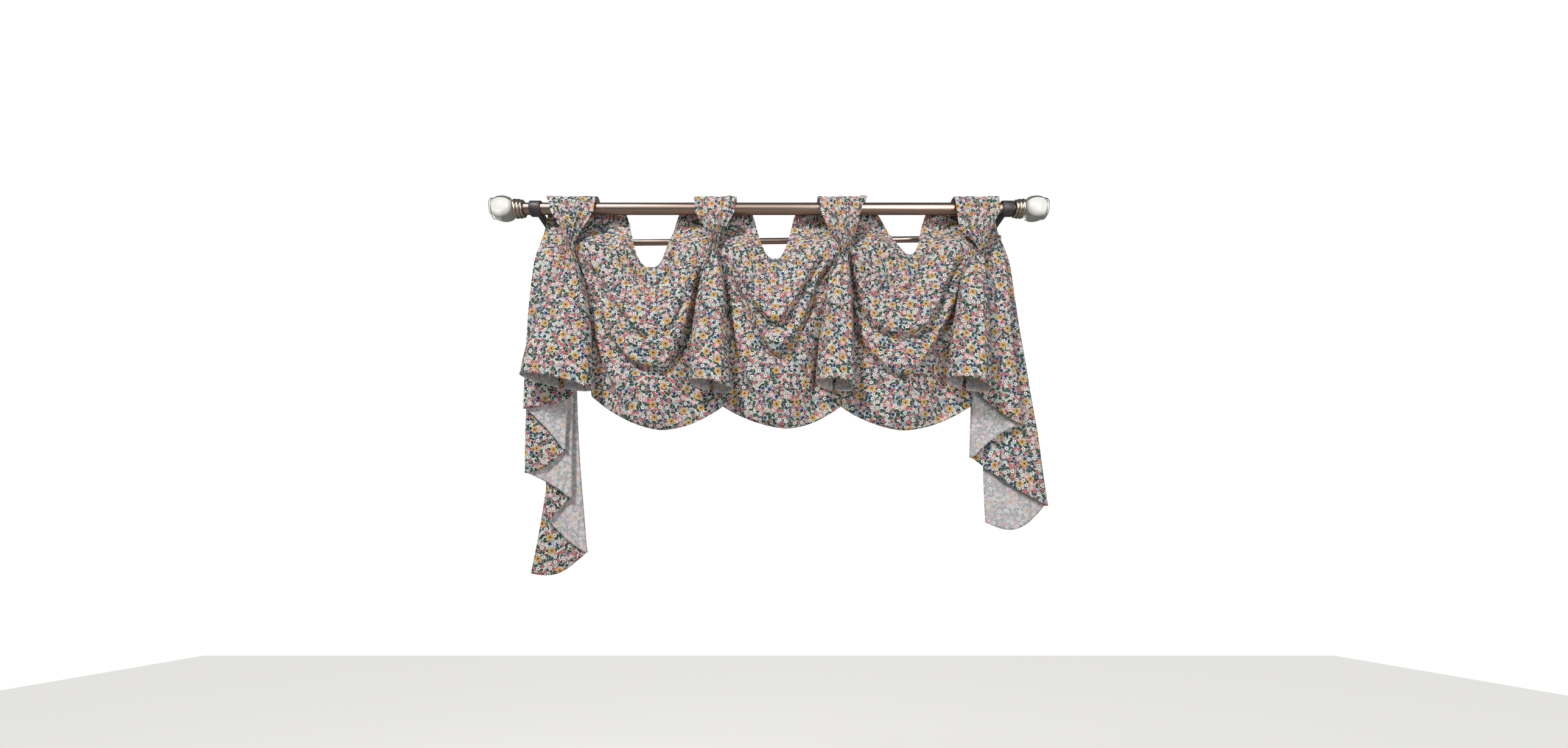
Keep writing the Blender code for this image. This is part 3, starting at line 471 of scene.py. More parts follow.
# Node kinds and settings that the materials use often
MATH = "ShaderNodeMath"
VECTOR_MATH = "ShaderNodeVectorMath"
ABOUT_Z = {"rotation_type": "Z_AXIS"}


def linear(hex_colour):
    """An sRGB hex colour as linear red, green, blue and alpha."""
    channels = []
    for start in (0, 2, 4):
        value = int(hex_colour[start:start + 2], 16) / 255
        channels.append(value / 12.92 if value <= 0.04045 else ((value + 0.055) / 1.055) ** 2.4)
    return (*channels, 1.0)


def step(value, start, end):
    """Rises smoothly from 0 at start to 1 at end."""
    share = min(max((value - start) / (end - start), 0.0), 1.0)
    return share * share * (3 - 2 * share)


def mix(a, b, share):
    return a + (b - a) * share


def seed_for(seeds, number):
    """The seed of a piece's creases, from the piece's place in its table."""
    first, after = seeds
    return number * after + first


def hump(value, middle, width):
    """A smooth hill, 1 at its middle."""
    return math.exp(-(((value - middle) / width) ** 2))


def row_between(rows, place):
    """A row of a table at a place between its rows, on a smooth curve through them."""
    index = min(max(int(place), 0), len(rows) - 2)
    share = place - index
    before, start = rows[max(index - 1, 0)], rows[index]
    end, after = rows[index + 1], rows[min(index + 2, len(rows) - 1)]
    values = []
    for p0, p1, p2, p3 in zip(before, start, end, after):
        slope_in, slope_out = (p2 - p0) / 2, (p3 - p1) / 2
        a = 2 * p1 - 2 * p2 + slope_in + slope_out
        b = -3 * p1 + 3 * p2 - 2 * slope_in - slope_out
        values.append(((a * share + b) * share + slope_in) * share + p1)
    return type(start)(*values)


def evenly(points, count):
    """Points at even distances along a line, as their first two numbers measure it."""
    lengths = [0.0]
    for a, b in zip(points, points[1:]):
        lengths.append(lengths[-1] + math.dist(a[:2], b[:2]))
    spread, index = [], 0
    for number in range(count + 1):
        want = lengths[-1] * number / count
        while index < len(points) - 2 and lengths[index + 1] < want:
            index += 1
        share = (want - lengths[index]) / max(lengths[index + 1] - lengths[index], 1e-9)
        spread.append(tuple(mix(a, b, share) for a, b in zip(points[index], points[index + 1])))
    return spread


def rung_at(down):
    """The rung's settings at a share of the way down a swag."""
    index = 0
    while index < len(RUNGS) - 2 and RUNGS[index + 1].down < down:
        index += 1
    start, end = RUNGS[index], RUNGS[index + 1]
    return row_between(RUNGS, index + (down - start.down) / (end.down - start.down))


def drape_line(swag, down, columns):
    """One rung of a swag as even (x, z) points, hanging from its two ends."""
    rung = rung_at(down)
    reach, drop = min(rung.reach, 1.0), min(max(rung.drop, 0.0), 1.0)
    left = Place(
        mix(swag.neck_left, swag.left_knot.x + SEAM_GAP, reach), mix(CLOTH_TOP_Z, swag.left_knot.z, drop)
    )
    right = Place(
        mix(swag.neck_right, swag.right_knot.x - SEAM_GAP, reach), mix(CLOTH_TOP_Z, swag.right_knot.z, drop)
    )
    low = Place(mix(swag.neck_low.x, swag.hem_low.x, down), mix(swag.neck_low.z, swag.hem_low.z, down))
    roundness = mix(swag.neck_round, rung.round, step(down, 0.0, 0.1))
    points = []
    for number in range(-LINE_POINTS, LINE_POINTS + 1):
        across = abs(number) / LINE_POINTS
        end = left if number < 0 else right
        depth = (1 - across**roundness) ** rung.power
        points.append((mix(low.x, end.x, across), mix(end.z, low.z, depth)))
    return evenly(points, columns)


def hem_line(swag, columns):
    """The outer line of a swag: down one seam, along the hem and up the other seam."""
    points = []
    for number in range(columns + 1):
        share = number / columns
        if share < SEAM_SHARE:
            along = share / SEAM_SHARE
            points.append((
                mix(swag.left_knot.x, swag.left_joint.x, along) + SEAM_GAP,
                mix(swag.left_knot.z, swag.left_joint.z, along),
            ))
        elif share > 1 - SEAM_SHARE:
            along = (1 - share) / SEAM_SHARE
            points.append((
                mix(swag.right_knot.x, swag.right_joint.x, along) - SEAM_GAP,
                mix(swag.right_knot.z, swag.right_joint.z, along),
            ))
        else:
            along = (share - SEAM_SHARE) / (1 - 2 * SEAM_SHARE)
            across = abs(2 * along - 1)
            end = swag.left_joint if along < 0.5 else swag.right_joint
            inward = SEAM_GAP if along < 0.5 else -SEAM_GAP
            points.append((
                mix(swag.hem_low.x, end.x + inward, across),
                mix(swag.hem_low.z, end.z, across**HEM_ROUND),
            ))
    return points


def seam_share(swag, z):
    """0 at the height of the knots and 1 at the hem's joints."""
    return min(max((swag.left_knot.z - z) / (swag.left_knot.z - swag.left_joint.z), 0.0), 1.0)


def belly(swag, x, z):
    """0 beside and behind the bells, and 1 half way between them."""
    flare = seam_share(swag, z) ** FLARE_POWER
    left = mix(swag.left_knot.x, swag.left_bell, flare)
    right = mix(swag.right_knot.x, swag.right_bell, flare)
    across = min(max((x - left) / (right - left), 0.0), 1.0)
    return math.sin(math.pi * across) ** BELLY_POWER


def swag_depth(swag, down, x, z):
    """How far forward a swag's smooth surface stands, before its folds."""
    side = mix(GATHER_Y, JOINT_Y, seam_share(swag, z))
    full = mix(side, rung_at(down).forward, belly(swag, x, z))
    return mix(BEHIND_ROD_Y, full, step(z, FORWARD_FROM_Z, FORWARD_AT_Z))


def fold_rise(swag, down, share, x, z):
    """Height of a swag's folds above its smooth surface."""
    rise = 0.0
    for fold in swag.folds:
        bow = fold.middle - (fold.left + fold.right) / 2
        middle = mix(fold.left, fold.right, share) + bow * 4 * share * (1 - share)
        rise += fold.rise * hump(down, middle, fold.width)
    fade = mix(FOLD_LEFT_BESIDE_BELL, 1.0, belly(swag, x, z) ** FOLD_FADE_POWER)
    near_hem = 1 - FOLD_LOST_AT_HEM * step(down, FOLD_LOST_FROM, 1.0)
    return rise * fade * near_hem * step(z, FORWARD_FROM_Z, FORWARD_AT_Z)


def smooth_line(points):
    """Even points on a smooth curve through a table's points."""
    places = [Place(*point) for point in points]
    last = len(places) - 1
    curve = [tuple(row_between(places, last * number / LINE_POINTS)) for number in range(LINE_POINTS + 1)]
    return evenly(curve, VALLEY_POINTS)


def from_line(line, x, z):
    """How far a point is from a line, more than 0 on its left, and its share of the way along."""
    nearest = min(range(len(line)), key=lambda index: (x - line[index][0]) ** 2 + (z - line[index][1]) ** 2)
    found = []
    for index in (nearest - 1, nearest):
        if 0 <= index < len(line) - 1:
            start, end = line[index], line[index + 1]
            run, climb = end[0] - start[0], end[1] - start[1]
            along = ((x - start[0]) * run + (z - start[1]) * climb) / (run * run + climb * climb)
            along = min(max(along, 0.0), 1.0)
            off_x, off_z = x - start[0] - run * along, z - start[1] - climb * along
            side = 1 if run * off_z - climb * off_x > 0 else -1
            found.append((math.hypot(off_x, off_z), side, (index + along) / (len(line) - 1)))
    away, side, share = min(found)
    return side * away, share


def valley_rise(swag, lines, x, z):
    """Height of the sharp valleys that run out of the knots, and of the ridges beside them."""
    from_knot = min(math.dist((x, z), swag.left_knot), math.dist((x, z), swag.right_knot))
    near = mix(VALLEY_AT_KNOT, 1.0, min(from_knot / VALLEY_FULL_FROM_KNOT, 1.0))
    rise = 0.0
    for valley, line in zip(swag.valleys, lines):
        away, share = from_line(line, x, z)
        ends = step(share, 0.0, VALLEY_ENDS) * step(share, 1.0, 1 - VALLEY_ENDS)
        above = 0.5 + 0.5 * math.tanh(away / (VALLEY_EDGE * near))
        rise += ends * mix(-valley.drop, valley.ridge, above) * math.exp(-abs(away) / (valley.spread * near))
        rise -= ends * GROOVE_SHARE * valley.drop * hump(away, -GROOVE_BELOW * near, GROOVE_WIDTH * near)
    fade = mix(VALLEY_LEFT_BESIDE_BELL, 1.0, belly(swag, x, z) ** VALLEY_FADE_POWER)
    return rise * near * fade * step(z, FORWARD_FROM_Z, FORWARD_AT_Z)


def knot_pleats(swag, down, x, z, seed):
    """Small pleats that fan out of both knots."""
    rise = 0.0
    for knot in (swag.left_knot, swag.right_knot):
        away = math.hypot(x - knot.x, z - knot.z)
        height = KNOT_PLEAT_RISE * math.exp(-away / KNOT_PLEAT_REACH) * min(away / KNOT_PLEAT_STARTS, 1.0)
        uneven = KNOT_PLEAT_UNEVEN * noise.noise(Vector((down * 4, seed, knot.x)))
        turn = 2 * math.pi * KNOT_PLEATS * (down + uneven)
        rise += height * math.cos(turn + KNOT_PLEAT_SHIFT * knot.x)
    return rise * step(z, 0.0, KNOT_PLEATS_AT_Z)


def creases(share, down, depth, seed):
    """Fine uneven creases that run along a swag's folds."""
    rise = 0.0
    for number, crease in enumerate(CREASES):
        place = Vector((share * crease.along, down * crease.across, seed + CREASE_SEED_STEP * number))
        rise += crease.share * noise.noise(place)
    return depth * rise


def swag_grid(swag, columns, rows, crease_depth, seed):
    outer = hem_line(swag, columns)
    lines = [smooth_line(valley.line) for valley in swag.valleys]
    grid = []
    for row in range(rows + 1):
        down = row / rows
        blend = step(down, 0.5, 1.0)
        line = []
        for column, (inner, hem) in enumerate(zip(drape_line(swag, down, columns), outer)):
            share = column / columns
            x, z = mix(inner[0], hem[0], blend), mix(inner[1], hem[1], blend)
            rise = fold_rise(swag, down, share, x, z) + valley_rise(swag, lines, x, z)
            small = knot_pleats(swag, down, x, z, seed)
            fade = mix(CREASE_LEFT_BESIDE_BELL, 1.0, belly(swag, x, z))
            small += creases(share, down, crease_depth, seed) * fade
            y = swag_depth(swag, down, x, z) - rise - small
            line.append(Vector((x, y, z - rise * FOLD_LEAN)))
        grid.append(line)
    return grid


def loop_edges(horn, narrowing):
    """A loop's two edges at a place between the rod and the knot."""
    places = (horn.top, horn.rod_bottom, horn.above_knot)
    index = min(int(narrowing), len(places) - 2)
    return [mix(a, b, narrowing - index) for a, b in zip(places[index], places[index + 1])]


def horn_rows(horn):
    """Every row of one horn, each with its own two edges."""
    rows = [FullRow(*row[:-1], *loop_edges(horn, row.narrowing)) for row in LOOP_ROWS]
    knot = horn.knot
    rows.append(FullRow(*KNOT_ROW._replace(z=knot.z), knot.x - KNOT_HALF_WIDTH, knot.x + KNOT_HALF_WIDTH))
    for row, edges in zip(BELL_ROWS, horn.bell):
        rows.append(FullRow(*row, *edges))
    rows[-1] = rows[-1]._replace(z=(horn.hem_left_z + horn.hem_right_z) / 2)
    return rows


def pleats_rise(pleats, across):
    """Height of a row of pleats at a place across a horn."""
    return sum(pleat.rise * hump(across, pleat.across, pleat.width) for pleat in pleats)


def horn_grid(horn, columns, steps, crease_depth, seed):
    rows = horn_rows(horn)
    knot_place = len(LOOP_ROWS)
    route = []
    for number in range(ROUTE_POINTS + 1):
        place = number * (len(rows) - 1) / ROUTE_POINTS
        row = row_between(rows, place)
        route.append((row.y, row.z, place))
    grid = []
    for _, _, place in evenly(route, steps):
        row = row_between(rows, place)
        wrap = math.radians(row.wrap)
        bell_share = max(place - knot_place, 0.0) / (len(rows) - 1 - knot_place)
        line = []
        for column in range(columns + 1):
            across = 2 * column / columns - 1
            turn = wrap * across
            widest = math.sin(min(wrap, math.pi / 2))
            x = mix(row.left, row.right, 0.5 + 0.5 * math.sin(turn) / widest)
            back = (1 - math.cos(turn)) / (1 - math.cos(wrap))
            side = (x - (row.left + row.right) / 2) / ((row.right - row.left) / 2)
            tilt = side * (horn.hem_right_z - horn.hem_left_z) / 2 * bell_share**2
            rise = row.pleat * (pleats_rise(HORN_PLEATS, across) - PLEAT_LEVEL)
            flute = pleats_rise(horn.flutes, across)
            rise += row.flute * flute * (1 - back)
            fine = noise.noise(Vector((across * 9, place * 1.1, seed)))
            rise += crease_depth * HORN_CREASE_SHARE * fine * (1 - back * HORN_CREASE_LOST_BEHIND)
            dip = FLUTE_DIP_AT_HEM * row.flute * flute * bell_share**4
            z = row.z + tilt - HEM_CURL_DROP * back * bell_share**2 - dip
            if place < LOOP_UNEVEN_ROWS:
                z += LOOP_UNEVEN * noise.noise(Vector((across * 2.6, place * 0.3, seed + 3)))
            line.append(Vector((x, row.y + row.depth * back - rise, z)))
        grid.append(line)
    return grid


def line_x(line, share):
    """Where an upright fold line is at a share of its way down: a parabola through three places."""
    bow = line.middle_x - (line.top_x + line.hem_x) / 2
    return mix(line.top_x, line.hem_x, share) + bow * 4 * share * (1 - share)


def tail_layer_y(tail, layer, z):
    front = mix(BEHIND_ROD_Y, TAIL_FRONT_Y, step(z, TAIL_SPREAD_FROM_Z, TAIL_FORWARD_AT_Z))
    spacing = mix(tail.top_step, tail.hem_step, step(z, TAIL_SPREAD_FROM_Z, TAIL_SPREAD_AT_Z))
    return front + layer * spacing, spacing


def tail_line(tail, share):
    """One level of a cascade: straight layers joined by round folds."""
    points = []
    lines = tail.lines
    for layer, (start, end) in enumerate(zip(lines, lines[1:])):
        toward = 1 if end.hem_x > start.hem_x else -1
        for column in range(STRAIGHT_COLUMNS + 1):
            along = column / STRAIGHT_COLUMNS
            hem = mix(start.hem_z, end.hem_z, along) - start.bulge * math.sin(math.pi * along)
            z = mix(CLOTH_TOP_Z, hem, share)
            y, spacing = tail_layer_y(tail, layer, z)
            start_round = spacing / 2 if layer else 0.0
            end_round = spacing / 2 if layer < len(lines) - 2 else 0.0
            x_start = line_x(start, share) + toward * start_round
            x_end = line_x(end, share) - toward * end_round
            points.append(Vector((mix(x_start, x_end, along), y, z)))
        if layer == len(lines) - 2:
            break
        z = mix(CLOTH_TOP_Z, end.hem_z, share)
        y, spacing = tail_layer_y(tail, layer, z)
        for column in range(1, ARC_COLUMNS):
            turn = math.pi * column / ARC_COLUMNS
            x = line_x(end, share) - toward * spacing / 2 * (1 - math.sin(turn))
            points.append(Vector((x, y + spacing / 2 * (1 - math.cos(turn)), z)))
    return points


def tail_grid(tail, rows, crease_depth, seed):
    """A cascade's levels, with the soft upright flutes that all its layers share."""
    grid = []
    for row in range(rows + 1):
        line = []
        for point in tail_line(tail, row / rows):
            fade = step(point.z, TAIL_FLUTES_FROM_Z, TAIL_FLUTES_AT_Z)
            rise = 0.0
            for flute in tail.flutes:
                middle = flute.x - flute.lean * point.z
                rise += flute.rise * hump(point.x, middle, flute.width * (1 - FLUTE_WIDENS * point.z))
            rise += crease_depth * noise.noise(Vector((point.x * 60, point.z * 7, seed)))
            line.append(point - Vector((0.0, rise * fade, 0.0)))
        grid.append(line)
    return grid


def add_node(tree, kind, settings, inputs, output=0):
    """Adds a node, gives it its settings and inputs, and returns the wanted output."""
    node = tree.nodes.new(kind)
    for name, value in settings.items():
        setattr(node, name, value)
    for name, value in inputs.items():
        if isinstance(value, bpy.types.NodeSocket):
            tree.links.new(value, node.inputs[name])
        else:
            node.inputs[name].default_value = value
    return node.outputs[output]


def new_material(name):
    """An empty node material with a Principled shader, as (material, tree, shader)."""
    made = bpy.data.materials.new(name)
    made.use_nodes = True
    return made, made.node_tree, made.node_tree.nodes["Principled BSDF"]


def scatter(tree, place, cell, share, seed):
    """Motif places: (offset from the motif's middle in mm turned at random, 1 where one grows)."""
    layer_start = (seed * 37.0, seed * 91.0, 0.0)
    moved = add_node(tree, VECTOR_MATH, {"operation": "ADD"}, {0: place, 1: layer_start})
    cells = add_node(
        tree, "ShaderNodeTexVoronoi", {"voronoi_dimensions": "2D", "feature": "F1"},
        {"Vector": moved, "Scale": 1 / cell, "Randomness": CELL_RANDOMNESS},
    ).node.outputs
    offset = add_node(tree, VECTOR_MATH, {"operation": "SUBTRACT"}, {0: moved, 1: cells["Position"]})
    chances = add_node(tree, "ShaderNodeSeparateColor", {}, {0: cells["Color"]}).node.outputs
    turn = add_node(tree, MATH, {"operation": "MULTIPLY"}, {0: chances[1], 1: 2 * math.pi})
    turned = add_node(tree, "ShaderNodeVectorRotate", ABOUT_Z, {"Vector": offset, "Angle": turn})
    grows = add_node(tree, MATH, {"operation": "LESS_THAN"}, {0: chances[0], 1: share})
    return turned, grows


def inside(tree, edge, distance, softness):
    """1 inside an edge and 0 outside it, over a soft band."""
    outside = add_node(tree, MATH, {"operation": "SUBTRACT"}, {0: distance, 1: edge})
    band = {"Value": outside, "From Min": softness / 2, "From Max": -softness / 2}
    return add_node(tree, "ShaderNodeMapRange", {"clamp": True}, band)


def painted(tree, below, colour, mask):
    """A colour laid over another where the mask is 1."""
    return add_node(tree, "ShaderNodeMix", {"data_type": "RGBA"}, {0: mask, 6: below, 7: colour}, output=2)


def flower_layer(tree, below, place, motif, seed):
    """Paints one scattered kind of flower over what is below."""
    offset, grows = scatter(tree, place, motif.cell, motif.share, seed)
    parts = add_node(tree, "ShaderNodeSeparateXYZ", {}, {0: offset}).node.outputs
    reach = add_node(tree, VECTOR_MATH, {"operation": "LENGTH"}, {0: offset}, output=1)
    angle = add_node(tree, MATH, {"operation": "ARCTAN2"}, {0: parts[1], 1: parts[0]})
    turn = add_node(tree, MATH, {"operation": "MULTIPLY"}, {0: angle, 1: motif.petals / 2})
    wave = add_node(tree, MATH, {"operation": "COSINE"}, {0: turn})
    straight = add_node(tree, MATH, {"operation": "ABSOLUTE"}, {0: wave})
    lobe = add_node(tree, MATH, {"operation": "POWER"}, {0: straight, 1: 0.6})
    swing, least = motif.radius * (1 - motif.waist), motif.radius * motif.waist
    edge = add_node(tree, MATH, {"operation": "MULTIPLY_ADD"}, {0: lobe, 1: swing, 2: least})
    wide = add_node(tree, MATH, {"operation": "ADD"}, {0: edge, 1: motif.outline})
    colour = below
    off_vein = add_node(tree, MATH, {"operation": "MULTIPLY"}, {0: reach, 1: straight})
    vein = inside(tree, motif.vein * motif.petals / 2, off_vein, PRINT_EDGE)
    on_vein = add_node(tree, MATH, {"operation": "MULTIPLY"}, {0: vein, 1: grows})
    for limit, paint, where in (
        (wide, motif.rim_hex, grows), (edge, motif.petal_hex, grows),
        (edge, motif.vein_hex, on_vein), (motif.centre, motif.centre_hex, grows),
    ):
        mask = inside(tree, limit, reach, PRINT_EDGE)
        mask = add_node(tree, MATH, {"operation": "MULTIPLY"}, {0: mask, 1: where})
        colour = painted(tree, colour, linear(paint), mask)
    return colour


def leaf_layer(tree, below, place, leaf, seed):
    """Paints scattered pairs of leaves with a paler rib."""
    offset, grows = scatter(tree, place, leaf.cell, leaf.share, seed)
    parts = add_node(tree, "ShaderNodeSeparateXYZ", {}, {0: offset}).node.outputs
    folded = add_node(tree, MATH, {"operation": "ABSOLUTE"}, {0: parts[1]})
    mirrored = add_node(tree, "ShaderNodeCombineXYZ", {}, {0: parts[0], 1: folded})
    turned = add_node(tree, "ShaderNodeVectorRotate", ABOUT_Z, {"Vector": mirrored, "Angle": -LEAF_SPREAD})
    along = add_node(tree, "ShaderNodeSeparateXYZ", {}, {0: turned}).node.outputs
    place_on = add_node(
        tree, MATH, {"operation": "MULTIPLY_ADD"}, {0: along[0], 1: 2 / leaf.length, 2: -1.0}
    )
    square = add_node(tree, MATH, {"operation": "MULTIPLY"}, {0: place_on, 1: place_on})
    outline = {0: square, 1: -leaf.width, 2: leaf.width}
    edge = add_node(tree, MATH, {"operation": "MULTIPLY_ADD"}, outline)
    wide = add_node(tree, MATH, {"operation": "ADD"}, {0: edge, 1: leaf.rim})
    rib = add_node(tree, MATH, {"operation": "MINIMUM"}, {0: edge, 1: RIB_HALF_WIDTH})
    off_rib = add_node(tree, MATH, {"operation": "ABSOLUTE"}, {0: along[1]})
    colour = below
    for limit, paint in ((wide, leaf.rim_hex), (edge, leaf.leaf_hex), (rib, leaf.rib_hex)):
        mask = inside(tree, limit, off_rib, PRINT_EDGE)
        mask = add_node(tree, MATH, {"operation": "MULTIPLY"}, {0: mask, 1: grows})
        colour = painted(tree, colour, linear(paint), mask)
    return colour


def print_colour(tree):
    """The flower print in the cloth's own flat millimetres. Returns (colour, place)."""
    flat = add_node(tree, "ShaderNodeUVMap", {"uv_map": "flat_cloth"}, {})
    place = add_node(tree, VECTOR_MATH, {"operation": "SCALE"}, {0: flat, "Scale": 1000.0})
    colour = linear(GROUND_HEX)
    stem = add_node(
        tree, "ShaderNodeTexNoise", {"noise_dimensions": "2D"},
        {"Vector": place, "Scale": 1 / STEM_BEND, "Detail": 1.0, "Roughness": 0.4},
    )
    level = add_node(tree, MATH, {"operation": "SUBTRACT"}, {0: stem, 1: 0.5})
    level = add_node(tree, MATH, {"operation": "ABSOLUTE"}, {0: level})
    colour = painted(tree, colour, linear(STEM_HEX), inside(tree, STEM_HALF_WIDTH, level, STEM_EDGE))
    for seed, kind in enumerate(PRINT):
        layer = leaf_layer if isinstance(kind, Leaf) else flower_layer
        colour = layer(tree, colour, place, kind, seed + 1)
    return colour, place


def weave_bump(tree, place, thread, strength):
    """Plain weave: threads over and under each other, spaced as given in millimetres."""
    parts = add_node(tree, "ShaderNodeSeparateXYZ", {}, {0: place}).node.outputs
    waves = []
    for axis in (0, 1):
        turn = add_node(tree, MATH, {"operation": "MULTIPLY"}, {0: parts[axis], 1: math.pi / thread})
        waves.append(add_node(tree, MATH, {"operation": "SINE"}, {0: turn}))
    checks = add_node(tree, MATH, {"operation": "MULTIPLY"}, {0: waves[0], 1: waves[1]})
    slub = add_node(
        tree, "ShaderNodeTexNoise", {"noise_dimensions": "2D"}, {"Vector": place, "Scale": 0.5, "Detail": 3.0}
    )
    height = add_node(tree, MATH, {"operation": "MULTIPLY_ADD"}, {0: slub, 1: 1.2, 2: checks})
    return add_node(tree, "ShaderNodeBump", {}, {"Strength": strength, "Distance": 0.0002, "Height": height})


def cotton_face(sizes):
    """Plain-weave cotton lawn, rotary printed: matt, with crisp small flowers on pale sage."""
    made, tree, shader = new_material("printed_cotton_face")
    colour, place = print_colour(tree)
    shader.inputs["Roughness"].default_value = 0.86
    shader.inputs["Sheen Weight"].default_value = 0.05
    shader.inputs["Sheen Roughness"].default_value = 0.5
    shader.inputs["Specular IOR Level"].default_value = 0.2
    tree.links.new(colour, shader.inputs["Base Color"])
    bump = weave_bump(tree, place, sizes.thread_spacing * 1000, 0.35)
    tree.links.new(bump, shader.inputs["Normal"])
    return made


def cotton_reverse(colours, sizes):
    """The unprinted side of the same cotton: the flowers show through it faint and greyed."""
    made, tree, shader = new_material("printed_cotton_reverse")
    colour, place = print_colour(tree)
    faded = painted(tree, colour, tuple(colours.reverse_ground) + (1.0,), REVERSE_GREYED)
    shader.inputs["Roughness"].default_value = 0.9
    shader.inputs["Sheen Weight"].default_value = 0.05
    shader.inputs["Specular IOR Level"].default_value = 0.2
    tree.links.new(faded, shader.inputs["Base Color"])
    bump = weave_bump(tree, place, sizes.thread_spacing * 1000, 0.35)
    tree.links.new(bump, shader.inputs["Normal"])
    return made


def drawn_steel(colours):
    """Steel tube, drawn and lacquered pewter brown: satin, with faint streaks along it."""
    made, tree, shader = new_material("lacquered_steel_tube")
    shader.inputs["Metallic"].default_value = 1.0
    spot = add_node(tree, "ShaderNodeTexCoord", {}, {}, output=3)
    streaks = add_node(tree, "ShaderNodeMapping", {}, {"Vector": spot, "Scale": (4.0, 900.0, 900.0)})
    grain = add_node(tree, "ShaderNodeTexNoise", {}, {"Vector": streaks, "Scale": 1.0, "Detail": 2.0})
    rough = add_node(tree, "ShaderNodeMapRange", {}, {"Value": grain, "To Min": 0.24, "To Max": 0.34})
    tree.links.new(rough, shader.inputs["Roughness"])
    base = tuple(colours.rod) + (1.0,)
    worn = add_node(tree, "ShaderNodeMapRange", {}, {"Value": grain, "To Min": 0.0, "To Max": 0.25})
    tree.links.new(painted(tree, base, linear("6E5A50"), worn), shader.inputs["Base Color"])
    bump = add_node(tree, "ShaderNodeBump", {}, {"Strength": 0.05, "Distance": 0.0001, "Height": grain})
    tree.links.new(bump, shader.inputs["Normal"])
    return made


def powder_coat(colours):
    """Pressed steel, powder coated near black: a fine orange-peel grain and a soft gloss."""
    made, tree, shader = new_material("dark_powder_coat")
    spot = add_node(tree, "ShaderNodeTexCoord", {}, {}, output=3)
    grain = add_node(tree, "ShaderNodeTexNoise", {}, {"Vector": spot, "Scale": 900.0, "Detail": 2.0})
    wide = add_node(tree, "ShaderNodeTexNoise", {}, {"Vector": spot, "Scale": 60.0, "Detail": 2.0})
    base = tuple(colours.bracket) + (1.0,)
    tree.links.new(painted(tree, base, linear("4C4647"), wide), shader.inputs["Base Color"])
    rough = add_node(tree, "ShaderNodeMapRange", {}, {"Value": wide, "To Min": 0.38, "To Max": 0.52})
    tree.links.new(rough, shader.inputs["Roughness"])
    bump = add_node(tree, "ShaderNodeBump", {}, {"Strength": 0.15, "Distance": 0.0002, "Height": grain})
    tree.links.new(bump, shader.inputs["Normal"])
    return made


def turned_nickel(colours):
    """Turned metal, plated warm nickel: bright, with fine rings from the lathe."""
    made, tree, shader = new_material("brushed_nickel_plate")
    shader.inputs["Metallic"].default_value = 1.0
    spot = add_node(tree, "ShaderNodeTexCoord", {}, {}, output=3)
    rings = add_node(tree, "ShaderNodeMapping", {}, {"Vector": spot, "Scale": (2500.0, 60.0, 60.0)})
    grain = add_node(tree, "ShaderNodeTexNoise", {}, {"Vector": rings, "Scale": 1.0, "Detail": 2.0})
    rough = add_node(tree, "ShaderNodeMapRange", {}, {"Value": grain, "To Min": 0.16, "To Max": 0.30})
    tree.links.new(rough, shader.inputs["Roughness"])
    base = tuple(colours.collar) + (1.0,)
    tree.links.new(painted(tree, base, linear("A79E95"), grain), shader.inputs["Base Color"])
    return made


def moulded_glass():
    """Clear soda glass, pressed in a mould and fire polished: slick, with a slight waviness."""
    made, tree, shader = new_material("clear_moulded_glass")
    shader.inputs["Base Color"].default_value = linear("F6F4EE")
    shader.inputs["Transmission Weight"].default_value = 1.0
    shader.inputs["Roughness"].default_value = 0.02
    shader.inputs["IOR"].default_value = 1.5
    spot = add_node(tree, "ShaderNodeTexCoord", {}, {}, output=3)
    waves = add_node(tree, "ShaderNodeTexNoise", {}, {"Vector": spot, "Scale": 60.0, "Detail": 1.0})
    bump = add_node(tree, "ShaderNodeBump", {}, {"Strength": 0.04, "Distance": 0.002, "Height": waves})
    tree.links.new(bump, shader.inputs["Normal"])
    return made


def pale_floor():
    """Matt white studio floor, with a glow that only the eye sees, so it stays pale in the dim room."""
    made, tree, shader = new_material("matt_white_floor")
    spot = add_node(tree, "ShaderNodeTexCoord", {}, {}, output=3)
    cloudy = add_node(tree, "ShaderNodeTexNoise", {}, {"Vector": spot, "Scale": 0.4, "Detail": 2.0})
    tree.links.new(painted(tree, linear("F4F3F0"), linear("EFEEEA"), cloudy), shader.inputs["Base Color"])
    shader.inputs["Roughness"].default_value = 0.8
    to_eye = add_node(tree, "ShaderNodeLightPath", {}, {})
    glow = add_node(tree, MATH, {"operation": "MULTIPLY"}, {0: to_eye, 1: 0.7})
    shader.inputs["Emission Color"].default_value = linear("F4F3F0")
    tree.links.new(glow, shader.inputs["Emission Strength"])
    return made


def material_once(name, make, *settings):
    """A material that several pieces share, made the first time it is asked for."""
    return bpy.data.materials.get(name) or make(*settings)


def object_from(name, body):
    """A new object of a bmesh, moved from the rods' middle to the frame's origin."""
    bmesh.ops.translate(body, verts=body.verts, vec=FROM_PLATE)
    mesh = bpy.data.meshes.new(name)
    body.to_mesh(mesh)
    body.free()
    made = bpy.data.objects.new(name, mesh)
    bpy.context.scene.collection.objects.link(made)
    return made


